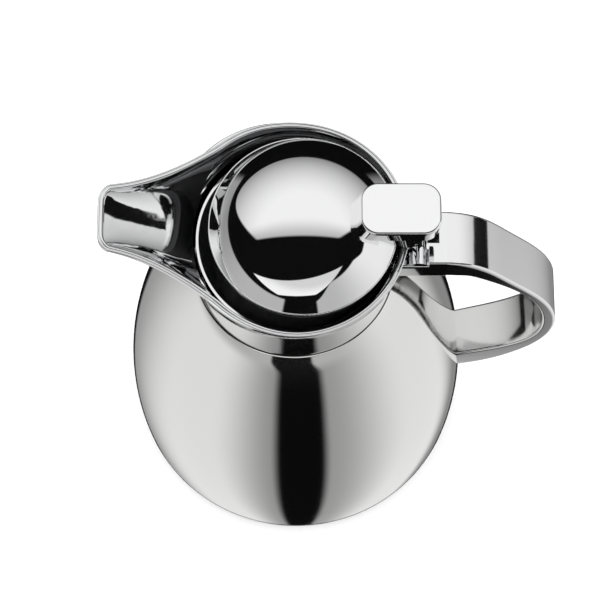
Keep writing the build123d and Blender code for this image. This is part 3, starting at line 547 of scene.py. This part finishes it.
@dataclass(frozen=True)
class FibrePad(Finish):
    """Pressed fibre, matt and hairy.

    Attributes:
        colour: Colour of the fibres.
        shade_colour: Colour between the fibres.
        across: Fibres per metre across the pad's plane.
        through: Fibres per metre through its thickness.
        fibre_edge: Where a fibre starts to show, on its noise.
        roughness: Roughness between the fibres.
        fibre_roughness: Roughness that a fibre adds.
        nap: Strength of the sheen.
        relief: Depth of the fibres, in metres.
    """

    colour: Colour = (0.56, 0.53, 0.47)
    shade_colour: Colour = (0.34, 0.32, 0.28)
    across: float = 500.0
    through: float = 2600.0
    fibre_edge: Span = (0.3, 0.7)
    roughness: float = 0.85
    fibre_roughness: float = 0.1
    nap: float = 0.4
    relief: float = 0.00012

    def shade(self, graph: Graph) -> Mapping[str, Any]:
        """Values and links of the surface shader's sockets.

        Args:
            graph: The material's node tree.

        Returns:
            Each socket by name.
        """
        at = graph.node("ShaderNodeTexCoord").outputs["Object"]
        x, y, z = graph.split(at)
        spread = graph.join(x * self.across, y * self.across, z * self.through)
        lay = graph.noise(spread, FIBRE_LAY)
        shown = graph.ease(lay, *self.fibre_edge)
        return {
            "Base Color": graph.blend(shown, self.shade_colour, self.colour),
            "Roughness": lay * self.fibre_roughness + self.roughness,
            "Sheen Weight": self.nap,
            "Normal": graph.bump(lay, self.relief),
        }


BODY_STEEL = Polished(
    "satin polished body steel", "jacket_steel", (0.80, 0.80, 0.79), (0.76, 0.76, 0.745),
    roughness=0.07, smudge=0.05, marks=0.04, grain=Grain.TURNED,
)
TRIM_STEEL = Polished(
    "bright polished trim", "polished_steel", (0.84, 0.84, 0.84), (0.80, 0.80, 0.79),
    roughness=0.07, marks=0.06, grain=Grain.TURNED,
)
CAST_CHROME = Polished(
    "chromed casting", "chrome_casting", (0.84, 0.845, 0.85), (0.80, 0.80, 0.80),
    roughness=0.045, smudge=0.05, marks=0.02,
)
DOME_CHROME = Polished(
    "mirror dome", "dome_mirror", (0.87, 0.87, 0.875), (0.84, 0.84, 0.84),
    roughness=0.025, smudge=0.03, marks=0.01, ripple=0.000001,
)
THUMB_CHROME = Polished(
    "mirror thumb plate", "thumb_chrome", (0.90, 0.90, 0.905), (0.86, 0.86, 0.86),
    roughness=0.05, smudge=0.06, marks=0.02,
)
RIBBON_STEEL = Polished(
    "polished ribbon steel", "handle_steel", (0.83, 0.83, 0.83), (0.79, 0.79, 0.78),
    roughness=0.09, smudge=0.06, marks=0.05, grain=Grain.ALONG,
)
PIN_STEEL = Polished(
    "ground pin steel", "pin_steel", (0.60, 0.60, 0.61), (0.50, 0.49, 0.47),
    roughness=0.26, smudge=0.1, marks=0.2, grain=Grain.TURNED,
)
SCREW_ZINC = Polished(
    "plated screw steel", "zinc_screw", (0.58, 0.59, 0.61), (0.50, 0.50, 0.49),
    roughness=0.30, smudge=0.12, marks=0.12,
)
BLACK_MOULDING = Moulded("black moulding", "black_plastic", (0.022, 0.022, 0.024), (0.05, 0.05, 0.052))
FOOT_RUBBER = Moulded(
    "black rubber", "black_rubber", (0.014, 0.014, 0.014), (0.05, 0.048, 0.045),
    roughness=0.78, pebble=3600.0, relief=0.00007,
)
GREY_SILICONE = Moulded(
    "grey silicone", "grey_silicone", (0.28, 0.28, 0.29), (0.36, 0.36, 0.36),
    roughness=0.46, pebble=5200.0, relief=0.00002,
)
LID_FOAM = Moulded(
    "closed foam", "foam", (0.84, 0.82, 0.77), (0.68, 0.66, 0.60),
    roughness=0.9, pebble=1500.0, relief=0.0003,
)
SILVERED = SilveredGlass("silvered glass", "silvered_glass")
FIBRE = FibrePad("pressed fibre", "felt_pad")


# ---- meshes -----------------------------------------------------------------------------------


def skin(name: str, rows: Sequence[Sequence[Point]]) -> bpy.types.Mesh:
    """Smooth quad mesh over rows of points, closed both ways.

    Args:
        name: Name of the mesh.
        rows: Rings of points, all of one length, in metres. The last ring joins the first.

    Returns:
        The mesh.
    """
    form = bmesh.new()
    rings = [[form.verts.new(point) for point in row] for row in rows]
    for first, second in zip(rings, rings[1:] + rings[:1]):
        for i, corner in enumerate(first):
            near = (i + 1) % len(first)
            form.faces.new((corner, first[near], second[near], second[i]))
    bmesh.ops.recalc_face_normals(form, faces=form.faces)
    for face in form.faces:
        face.smooth = True
    mesh = bpy.data.meshes.new(name)
    form.to_mesh(mesh)
    form.free()
    return mesh


def evenly(path: Sequence[Flat], count: int) -> list[Flat]:
    """Points at equal steps along a closed path.

    Args:
        path: The path's points.
        count: How many points to return.

    Returns:
        The points.
    """
    loop = list(path) + [path[0]]
    lengths = [0.0]
    for (x0, y0), (x1, y1) in zip(loop, loop[1:]):
        lengths.append(lengths[-1] + math.hypot(x1 - x0, y1 - y0))
    made: list[Flat] = []
    k = 0
    for i in range(count):
        goal = lengths[-1] * i / count
        while lengths[k + 1] < goal:
            k += 1
        share = (goal - lengths[k]) / max(lengths[k + 1] - lengths[k], SHORTEST)
        (x0, y0), (x1, y1) = loop[k], loop[k + 1]
        made.append((x0 + (x1 - x0) * share, y0 + (y1 - y0) * share))
    return made


def softened(path: Sequence[Flat], passes: int) -> list[Flat]:
    """Closed path with its kinks eased by averaging each point with its neighbours.

    Args:
        path: The path's points.
        passes: How often that is done.

    Returns:
        The eased points.
    """
    made = list(path)
    for _ in range(passes):
        made = [
            tuple((made[i - 1][k] + 2 * made[i][k] + made[(i + 1) % len(made)][k]) / 4 for k in (0, 1))
            for i in range(len(made))
        ]
    return made


# ---- pieces -----------------------------------------------------------------------------------


@dataclass
class Assembly:
    """A sub-assembly of the pot.

    Attributes:
        parts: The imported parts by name.
        body: The moving body that new pieces ride on.
    """

    parts: Mapping[str, bpy.types.Object]
    body: str

    def dress(self, name: str, finish: Finish) -> None:
        """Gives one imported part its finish.

        Args:
            name: The part.
            finish: Its finish.
        """
        part = self.parts[name]
        part.data.materials.clear()
        part.data.materials.append(finish.material())
        for face in part.data.polygons:
            face.use_smooth = True
        LOG.info("%s: %s", name, finish.name)

    def piece(
        self,
        name: str,
        mesh: bpy.types.Mesh,
        finish: Finish,
        stands_for: Sequence[str] = (),
    ) -> bpy.types.Object:
        """Puts a new mesh in the scene as a piece of this body.

        Args:
            name: The piece's name.
            mesh: Its mesh, in place.
            finish: Its finish.
            stands_for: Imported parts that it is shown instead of.

        Returns:
            The new piece.
        """
        made = bpy.data.objects.new(name, mesh)
        bpy.context.scene.collection.objects.link(made)
        mesh.materials.append(finish.material())
        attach(made, self.body)
        if stands_for:
            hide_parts(*stands_for)
        LOG.info("%s: %s, %d faces", name, finish.name, len(mesh.polygons))
        return made

    def build(self) -> None:
        """Builds and dresses everything in the sub-assembly."""
        raise NotImplementedError


@dataclass
class Jacket(Assembly):
    """The steel jacket with its base ring. Sizes are in millimetres.

    Attributes:
        radius: At its widest.
        widest_z: Height of the widest place.
        shoulder: Radius and height where the shoulder starts.
        neck: Radius and height of the neck.
        neck_slope: Angle from vertical where the shoulder meets the neck, in degrees.
        landing: Width of the flat landing inside the neck.
        wall: Thickness of the sheet.
        foot_z: Lower edge.
        side_steps: Rings up the side.
        shoulder_steps: Rings over the shoulder.
        turns: Points round the pot.
    """

    body: str = "pot"
    radius: float = 75.0
    widest_z: float = 27.0
    shoulder: Flat = (62.2, 118.0)
    neck: Flat = (41.0, 160.0)
    neck_slope: float = 45.0
    landing: float = 5.2
    wall: float = 1.2
    foot_z: float = 6.0
    side_steps: int = 48
    shoulder_steps: int = 36
    turns: int = 192

    def outside(self) -> list[Flat]:
        """Outer face of the sheet, from its foot up to its neck.

        Returns:
            Radius and height of each ring.
        """
        draw = self.radius - self.shoulder[0]
        climb = self.shoulder[1] - self.widest_z
        arc = (climb**2 + draw**2) / (2 * draw)
        made: list[Flat] = []
        for i in range(self.side_steps):
            z = self.foot_z + (self.shoulder[1] - self.foot_z) * i / self.side_steps
            made.append((self.radius - arc + math.sqrt(arc**2 - (z - self.widest_z) ** 2), z))
        reach = math.dist(self.shoulder, self.neck)
        lean = climb / arc
        slope = math.radians(self.neck_slope)
        start = (-lean * reach, math.sqrt(1 - lean**2) * reach)
        end = (-math.sin(slope) * reach, math.cos(slope) * reach)
        for i in range(self.shoulder_steps + 1):
            t = i / self.shoulder_steps
            shares = (2 * t**3 - 3 * t**2 + 1, t**3 - 2 * t**2 + t, 3 * t**2 - 2 * t**3, t**3 - t**2)
            parts = list(zip(shares, (self.shoulder, start, self.neck, end)))
            made.append(tuple(sum(share * part[k] for share, part in parts) for k in (0, 1)))
        return made

    def shell(self) -> bpy.types.Mesh:
        """The sheet, turned about the pot's axis, with its landing under the collar.

        Returns:
            The mesh.
        """
        outer = self.outside()
        inner: list[Flat] = []
        for i, (r, z) in enumerate(outer):
            (r0, z0), (r1, z1) = outer[max(i - 1, 0)], outer[min(i + 1, len(outer) - 1)]
            length = math.hypot(r1 - r0, z1 - z0)
            inner.append((r - self.wall * (z1 - z0) / length, z + self.wall * (r1 - r0) / length))
        top_r, top_z = self.neck
        land = [
            (top_r - self.wall / 4, top_z), (top_r - self.landing, top_z),
            (top_r - self.landing, top_z - self.wall),
        ]
        foot = [(inner[0][0], self.foot_z), (outer[0][0] - self.wall / 6, self.foot_z)]
        section = outer + land + list(reversed(inner[1:])) + foot
        rows: list[list[Point]] = []
        for i in range(self.turns):
            turn = 2 * math.pi * i / self.turns
            rows.append([(r * math.cos(turn) * MM, r * math.sin(turn) * MM, z * MM) for r, z in section])
        return skin("jacket_shell", rows)

    def build(self) -> None:
        """Turns the jacket and dresses the base ring."""
        self.piece("jacket_shell", self.shell(), BODY_STEEL, ("body_jacket",))
        self.dress("base_ring", TRIM_STEEL)


@dataclass
class Foot(Assembly):
    """What closes the foot and carries the liner."""

    body: str = "pot"

    def build(self) -> None:
        """Dresses the plate, its rubber and its screws."""
        self.dress("base_plate", BLACK_MOULDING)
        self.dress("foot_pad", FOOT_RUBBER)
        self.dress("base_screws", SCREW_ZINC)
        self.dress("liner_cushion", FOOT_RUBBER)


@dataclass
class Liner(Assembly):
    """The vacuum liner, its seal and the nut over it."""

    body: str = "pot"

    def build(self) -> None:
        """Dresses the two glasses, the pads between them and the seal."""
        for name in ("liner_outer_wall", "liner_inner_wall", "liner_tip"):
            self.dress(name, SILVERED)
        self.dress("liner_spacers", FIBRE)
        self.dress("neck_seal", GREY_SILICONE)
        self.dress("neck_nut", BLACK_MOULDING)


@dataclass
class Collar(Assembly):
    """The collar with its spout and the pouring cone inside it. Sizes are in millimetres.

    Attributes:
        rim_radius: Outside of the rim.
        rim_z: Height of the level rim.
        slope: Rise of the spout's edge per millimetre towards the tip.
        easing: Length over which the level rim bends into that slope.
        reach: Tip of the spout, from the pot's axis.
        root_in: Start of the spout's taper, in from the rim.
        tip_half: Half the spout's width at the tip.
        tip_spread: What the rounded corners stand out beyond that.
        corner: Radius of the spout's corners.
        flare: How fast the spout widens towards the collar.
        bead: Section of the rolled lip, as offsets out from the edge and heights over it.
        count: Points round the lip.
        steps: Places along the pot where the outline is measured.
        passes: Times that its kinks are eased.
    """

    body: str = "pot"
    rim_radius: float = 45.6
    rim_z: float = 197.3
    slope: float = 0.165
    easing: float = 11.4
    reach: float = 77.1
    root_in: float = 15.5
    tip_half: float = 13.8
    tip_spread: float = 1.65
    corner: float = 8.8
    flare: float = 1.75
    bead: Sequence[Flat] = (
        (-0.10, -0.60), (-0.04, -0.30), (-0.05, -0.05), (-0.18, 0.16), (-0.42, 0.27),
        (-0.68, 0.24), (-0.88, 0.10), (-0.98, -0.04), (-1.06, -0.06), (-1.14, 0.02),
        (-1.28, 0.17), (-1.56, 0.27), (-1.86, 0.22), (-2.12, 0.05), (-2.30, -0.16),
        (-2.40, -0.36), (-2.42, -0.60),
    )
    count: int = 420
    steps: int = 700
    passes: int = 3

    def half_width(self, x: float) -> float:
        """Half the width of the collar and spout at x, seen from above.

        Args:
            x: Place along the pot.

        Returns:
            The half width.
        """
        round_half = math.sqrt(max(self.rim_radius**2 - x * x, 0.0))
        root = self.root_in - self.rim_radius
        if x >= root:
            return round_half
        share = (root - x) / (self.reach + root)
        root_half = math.sqrt(self.rim_radius**2 - root**2)
        side = self.tip_half + (root_half - self.tip_half) * max(1 - share, 0.0) ** self.flare
        bend = self.corner - self.reach - x
        if bend > 0:
            flat = self.tip_half + self.tip_spread - self.corner
            side = min(side, flat + math.sqrt(max(self.corner**2 - bend * bend, 0.0)))
        return max(round_half, side)

    def outline(self) -> list[Flat]:
        """Outer edge of the rim and spout, seen from above.

        Returns:
            Points at equal steps along it.
        """
        span = self.reach + self.rim_radius
        turns = [math.pi * i / self.steps for i in range(1, self.steps)]
        along = [-self.reach + span * (1 - math.cos(turn)) / 2 for turn in turns]
        far = [(x, self.half_width(x)) for x in along]
        near = [(x, -y) for x, y in reversed(far)]
        return softened(evenly(far + near, self.count), self.passes)

    def edge_height(self, x: float) -> float:
        """Height of the pouring edge at x.

        Args:
            x: Place along the pot.

        Returns:
            The height.
        """
        lean = min(max((self.easing - x) / (2 * self.easing), 0.0), 1.0)
        eased = self.slope * self.easing * lean * lean
        return self.rim_z + (eased if x > -self.easing else -self.slope * x)

    def lip(self) -> bpy.types.Mesh:
        """Rolled lip along the rim and spout: two fine beads with a groove between them.

        Returns:
            The mesh.
        """
        path = self.outline()
        rows: list[list[Point]] = []
        for i, (x, y) in enumerate(path):
            (x0, y0), (x1, y1) = path[i - 1], path[(i + 1) % len(path)]
            length = math.hypot(x1 - x0, y1 - y0)
            out_x, out_y = (y1 - y0) / length, -(x1 - x0) / length
            if out_x * x + out_y * y < 0:
                out_x, out_y = -out_x, -out_y
            rows.append([
                (
                    (x + out_x * offset) * MM,
                    (y + out_y * offset) * MM,
                    (self.edge_height(x + out_x * offset) + height) * MM,
                )
                for offset, height in self.bead
            ])
        return skin("rim_lip", rows)

    def build(self) -> None:
        """Dresses the casting and the cone, and rolls the lip."""
        self.dress("spout_collar", CAST_CHROME)
        self.dress("pour_insert", TRIM_STEEL)
        self.piece("rim_lip", self.lip(), CAST_CHROME)


@dataclass
class Hinge(Assembly):
    """The hinge bracket with its pin, spring and screws."""

    body: str = "pot"

    def build(self) -> None:
        """Dresses the bracket and what it holds."""
        self.dress("hinge_bracket", CAST_CHROME)
        self.dress("bracket_screws", SCREW_ZINC)
        self.dress("hinge_pin", PIN_STEEL)
        self.dress("lid_spring", PIN_STEEL)


@dataclass
class Handle(Assembly):
    """The ribbon handle and what fixes it."""

    body: str = "pot"

    def build(self) -> None:
        """Dresses the ribbon, its backing plate and its screws."""
        self.dress("handle", RIBBON_STEEL)
        for name in ("handle_root_screw", "handle_foot_backing", "handle_foot_screws"):
            self.dress(name, SCREW_ZINC)


@dataclass
class Lid(Assembly):
    """The lid: dome, trim, plug and gasket."""

    body: str = "lid"

    def build(self) -> None:
        """Dresses the dome and everything under it."""
        self.dress("lid_dome", DOME_CHROME)
        self.dress("lid_rim", TRIM_STEEL)
        self.dress("lid_base", BLACK_MOULDING)
        self.dress("lid_foam", LID_FOAM)
        self.dress("lid_plug", BLACK_MOULDING)
        self.dress("lid_gasket", GREY_SILICONE)


@dataclass
class ThumbLever(Assembly):
    """The lid's arm with the thumb plate on it."""

    body: str = "lid"

    def build(self) -> None:
        """Dresses the arm, the plate and their screws."""
        self.dress("lid_arm", CAST_CHROME)
        self.dress("thumb_plate", THUMB_CHROME)
        self.dress("dome_screws", SCREW_ZINC)
        self.dress("arm_screws", SCREW_ZINC)


# ---- studio -----------------------------------------------------------------------------------


@dataclass(frozen=True)
class Side:
    """The table and the soft panel on one side of the pot, outside the black flag in front.

    Angles are in degrees. Azimuth counts from straight in front towards this side.

    Attributes:
        flag: Azimuth of the flag's edge.
        flag_lean: How far that edge moves out above the table.
        table: Brightness of the table straight in front.
        table_gain: What the table gains along the side.
        table_loss: Share of it that is lost behind.
        panel: Brightness of the panel straight in front.
        panel_gain: What the panel gains along the side.
        panel_loss: Share of it that is lost behind.
        top: Heights where the panel's top edge starts and ends.
        rises: How that edge rises along the side.
        droop_from: Azimuth from which it droops, as a parabola.
        droop_span: Azimuth over which it droops by its full depth.
        droop: That depth.
    """

    flag: float
    flag_lean: float
    table: float
    table_gain: Step
    table_loss: Step
    panel: float
    panel_gain: Step
    panel_loss: Step
    top: Span
    rises: Sequence[Step] = ()
    droop_from: float = 40.0
    droop_span: float = 80.0
    droop: float = 0.0

    def brightness(self, graph: Graph, azimuth: Wire, height: Wire, high: Wire, blur: Wire) -> Wire:
        """Brightness of this side.

        Args:
            graph: The surroundings.
            azimuth: Azimuth towards this side.
            height: Height above the horizon.
            high: 0 on the table and 1 above it.
            blur: Half width of the flag's edge.

        Returns:
            The brightness, 0 outside this side.
        """
        lit = graph.ease((azimuth - self.flag - high * self.flag_lean) / blur, -1, 1)
        table = (self.table_gain.at(graph, azimuth) + self.table) * (1 - self.table_loss.at(graph, azimuth))
        panel = (self.panel_gain.at(graph, azimuth) + self.panel) * (1 - self.panel_loss.at(graph, azimuth))
        drop = graph.math("MAXIMUM", azimuth - self.droop_from, 0) / self.droop_span
        edge = height + drop * drop * self.droop
        for rise in self.rises:
            edge = edge - rise.at(graph, azimuth)
        return lit * (table * (1 - high) + panel * high) * (1 - graph.ease(edge, *self.top))


@dataclass(frozen=True)
class Ceiling:
    """The large soft panel over and behind the pot, brightest half way up.

    Its places are how far a direction runs to the handle's side (u) and back (v) per unit of climb.

    Attributes:
        front: Front edge, from dark to lit.
        horizon: Heights between which its back end fades in, in degrees.
        blur: Distances inside a side edge, from dark to lit.
        left: Distance from the middle to its left edge, level with the pot.
        left_spread: How fast that edge runs out towards the back.
        left_bow: How strongly it bends back in.
        right: Distance from the middle to its right edge, level with the pot.
        right_spread: How fast that edge runs out towards the back.
        bright: Its greatest brightness.
        low_loss: What it loses near the horizon.
        low_height: Height up to which it loses some of that, in degrees.
        low_bend: Power by which the loss grows towards the horizon.
        near: Places between which it gets brighter towards the back.
        near_loss: Share that it loses in front of them.
    """

    front: Span = (-0.09, -0.04)
    horizon: Span = (5.0, 7.5)
    blur: Span = (-0.02, 0.10)
    left: float = 1.09
    left_spread: float = 1.25
    left_bow: float = 0.14
    right: float = 0.81
    right_spread: float = 1.6
    bright: float = 0.82
    low_loss: float = 0.72
    low_height: float = 52.0
    low_bend: float = 1.5
    near: Span = (-0.12, 0.28)
    near_loss: float = 0.51

    def brightness(self, graph: Graph, u: Wire, v: Wire, height: Wire) -> Wire:
        """Brightness of the panel, 0 outside it.

        Args:
            graph: The node tree to work in.
            u: Run of a direction to the handle's side, per unit of climb.
            v: Its run to the back, per unit of climb.
            height: Its height above the horizon.

        Returns:
            The brightness.
        """
        over = graph.ease(v, *self.front) * graph.ease(height, *self.horizon)
        inside_left = u + self.left + v * self.left_spread - v * v * self.left_bow
        inside_right = self.right + v * self.right_spread - u
        over = over * graph.ease(inside_left, *self.blur) * graph.ease(inside_right, *self.blur)
        low = (1 - height / self.low_height).clamped() ** self.low_bend
        near = 1 - graph.ease(v, *self.near)
        return over * (self.bright - low * self.low_loss) * (1 - near * self.near_loss)


@dataclass(frozen=True)
class FrontStrip:
    """The soft strip high in front of the pot, a bowl with a bowed upper edge.

    Its places are how far a direction runs to the handle's side (u) and back (v) per unit of climb.

    Attributes:
        top: Its upper edge, on the middle line.
        top_slant: How that edge slants towards the handle's side.
        top_bow: How strongly it is bowed.
        top_blur: Blur of that edge.
        foot: Its lower edge, on the middle line.
        foot_slant: How that edge slants towards the handle's side.
        right: Its right end, level with the pot.
        right_bow: How strongly that end is bowed.
        left: Its left end, level with the pot.
        left_bow: How strongly that end is bowed.
        blur: Blur of the other edges.
        bright: Its greatest brightness.
        fade: Heights between which it gets darker, in degrees, and by how much.
    """

    top: float = 0.975
    top_slant: float = 0.22
    top_bow: float = 0.14
    top_blur: float = 0.03
    foot: float = 1.807
    foot_slant: float = 0.117
    right: float = 1.02
    right_bow: float = 0.2
    left: float = 1.78
    left_bow: float = 0.25
    blur: float = 0.05
    bright: float = 0.84
    fade: Step = Step(30, 40, 0.24)

    def brightness(self, graph: Graph, u: Wire, v: Wire, height: Wire) -> Wire:
        """Brightness of the strip, 0 outside it.

        Args:
            graph: The node tree to work in.
            u: Run of a direction to the handle's side, per unit of climb.
            v: Its run to the back, per unit of climb.
            height: Its height above the horizon.

        Returns:
            The brightness.
        """
        below = u * self.top_slant + u * u * self.top_bow - self.top - v
        top = graph.ease(below, 0, self.top_blur)
        foot = graph.ease(v + self.foot - u * self.foot_slant, 0, self.blur)
        right = graph.ease(self.right - v * v * self.right_bow - u, 0, self.blur)
        left = graph.ease(u + self.left - v * v * self.left_bow, 0, self.blur)
        return top * foot * right * left * (self.bright - self.fade.at(graph, height))


@dataclass(frozen=True)
class Panels:
    """Brightness of the soft panels and black flags round the pot, by direction.

    Angles are in degrees: azimuth from straight in front, and height above the horizon.

    Attributes:
        left: The spout's side.
        right: The handle's side, with a dark gap beside its panel's fall.
        table_edge: Heights between which the table gives way to the panels.
        back_edge: Azimuths between which both sides end behind the pot.
        flag_blur: Half width of the flag's edges above the table.
        table_blur: What the table adds to it.
        dark: What the black flags still give.
        mirror: Share that the metal reflects, which the brightnesses allow for.
        lowest_climb: Climb below which a direction counts as level.
    """

    left: Side = Side(
        flag=11.5, flag_lean=6, table=0.27, table_gain=Step(10, 50, 0.44), table_loss=Step(76, 138, 0.6),
        panel=0.41, panel_gain=Step(50, 115, -0.16), panel_loss=Step(76, 138, 0.0),
        top=(22.6, 24.2), droop=13,
    )
    right: Side = Side(
        flag=17.5, flag_lean=-5, table=0.30, table_gain=Step(18, 72, 0.42), table_loss=Step(98, 128, 0.7),
        panel=0.42, panel_gain=Step(25, 80, 0.34), panel_loss=Step(98, 128, 0.7),
        top=(20.6, 22.2), rises=(Step(8, 34, 14.5), Step(64, 80, -5), Step(94, 106, -36)),
    )
    table_edge: Span = (-2, 10)
    back_edge: Span = (138, 146)
    flag_blur: float = 1.2
    table_blur: float = 2.0
    dark: float = 0.003
    mirror: float = 0.82
    lowest_climb: float = 0.02

    def brightness(self, graph: Graph) -> Wire:
        """Brightness that a mirror sees in each direction.

        Args:
            graph: The node tree to work in.

        Returns:
            The brightness.
        """
        at = graph.node("ShaderNodeTexCoord").outputs["Generated"]
        unit = graph.node("ShaderNodeVectorMath", {"operation": "NORMALIZE"}, {0: at}).outputs[0]
        x, y, z = graph.split(unit)
        azimuth = graph.math("ARCTAN2", x, -y) * math.degrees(1)
        height = graph.math("ARCSINE", z) * math.degrees(1)
        climb = graph.math("MAXIMUM", z, self.lowest_climb)
        u, v = x / climb, y / climb
        seen = (
            self.sides(graph, azimuth, height)
            + Ceiling().brightness(graph, u, v, height)
            + FrontStrip().brightness(graph, u, v, height)
        )
        return (seen + self.dark) / self.mirror

    def sides(self, graph: Graph, azimuth: Wire, height: Wire) -> Wire:
        """The table and the two side panels, with the black flag between them.

        Args:
            graph: The node tree to work in.
            azimuth: Azimuth of a direction.
            height: Its height above the horizon.

        Returns:
            Their brightness.
        """
        high = graph.ease(height, *self.table_edge)
        blur = self.flag_blur + (1 - high) * self.table_blur
        left = self.left.brightness(graph, -azimuth, height, high, blur)
        right = self.right.brightness(graph, azimuth, height, high, blur)
        return (left + right) * (1 - graph.ease(abs(azimuth), *self.back_edge))


@dataclass(frozen=True)
class Studio:
    """The floor, the light and the camera.

    Attributes:
        floor_half: Half the floor's side, in metres.
        sky: Brightness of the plain white surroundings that light matt surfaces.
        lens: Focal length in millimetres.
        station: Place of the camera.
        tilt: Angle of the camera from straight down, in degrees.
        sensor: Width of the camera's sensor, in millimetres.
        far: Distance beyond which the camera sees nothing, in metres.
        pale: Colour of the floor.
    """

    floor_half: float = 3.0
    sky: float = 1.7
    lens: float = 135.3
    station: Point = (0.0042, -0.3256, 1.0455)
    tilt: float = 19.09
    sensor: float = 36.0
    far: float = 20.0
    pale: Colour = (0.94, 0.94, 0.94)

    def build(self) -> None:
        """Sets the studio up round the pot."""
        self.floor()
        self.surroundings()
        self.camera()
        view = bpy.context.scene.view_settings
        view.view_transform = "Standard"
        view.look = "None"

    def floor(self) -> None:
        """A plain pale floor, which mirrors don't see."""
        half = self.floor_half
        mesh = bpy.data.meshes.new("floor")
        corners = [(-half, -half, 0), (half, -half, 0), (half, half, 0), (-half, half, 0)]
        mesh.from_pydata(corners, [], [(0, 1, 2, 3)])
        made = bpy.data.objects.new("floor", mesh)
        bpy.context.scene.collection.objects.link(made)
        material = bpy.data.materials.new("pale floor")
        material.use_nodes = True
        graph = Graph(material.node_tree)
        surface = graph.node("ShaderNodeBsdfDiffuse", None, {"Color": self.pale})
        graph.node("ShaderNodeOutputMaterial", None, {"Surface": surface.outputs[0]})
        mesh.materials.append(material)
        made.visible_glossy = False

    def surroundings(self) -> None:
        """White light for matt surfaces, and panels and flags for mirrors."""
        world = bpy.data.worlds.new("studio")
        world.use_nodes = True
        bpy.context.scene.world = world
        graph = Graph(world.node_tree)
        panels = Panels().brightness(graph)
        soft = graph.node("ShaderNodeBackground", None, {"Strength": self.sky})
        graph.feed(soft.inputs["Color"], WHITE)
        seen = graph.node("ShaderNodeBackground", None, {"Strength": panels})
        graph.feed(seen.inputs["Color"], WHITE)
        ray = graph.node("ShaderNodeLightPath").outputs["Is Glossy Ray"]
        both = graph.node(
            "ShaderNodeMixShader", None, {0: ray, 1: soft.outputs[0], 2: seen.outputs[0]}
        )
        graph.node("ShaderNodeOutputWorld", None, {"Surface": both.outputs[0]})

    def camera(self) -> None:
        """The camera, steeply above the front."""
        data = bpy.data.cameras.new("camera")
        data.lens = self.lens
        data.sensor_width = self.sensor
        data.clip_end = self.far
        made = bpy.data.objects.new("camera", data)
        made.location = self.station
        made.rotation_euler = (math.radians(self.tilt), 0.0, 0.0)
        bpy.context.scene.collection.objects.link(made)
        bpy.context.scene.camera = made


def main() -> None:
    """Builds the pot's looks and the studio, one sub-assembly after another."""
    logging.basicConfig(level=logging.INFO, format="%(message)s")
    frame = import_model()
    parts = frame["nodes"]
    for kind in (Jacket, Foot, Liner, Collar, Hinge, Handle, Lid, ThumbLever):
        kind(parts).build()
    Studio().build()
    LOG.info("sizes written")


if __name__ == "__main__":
    main()
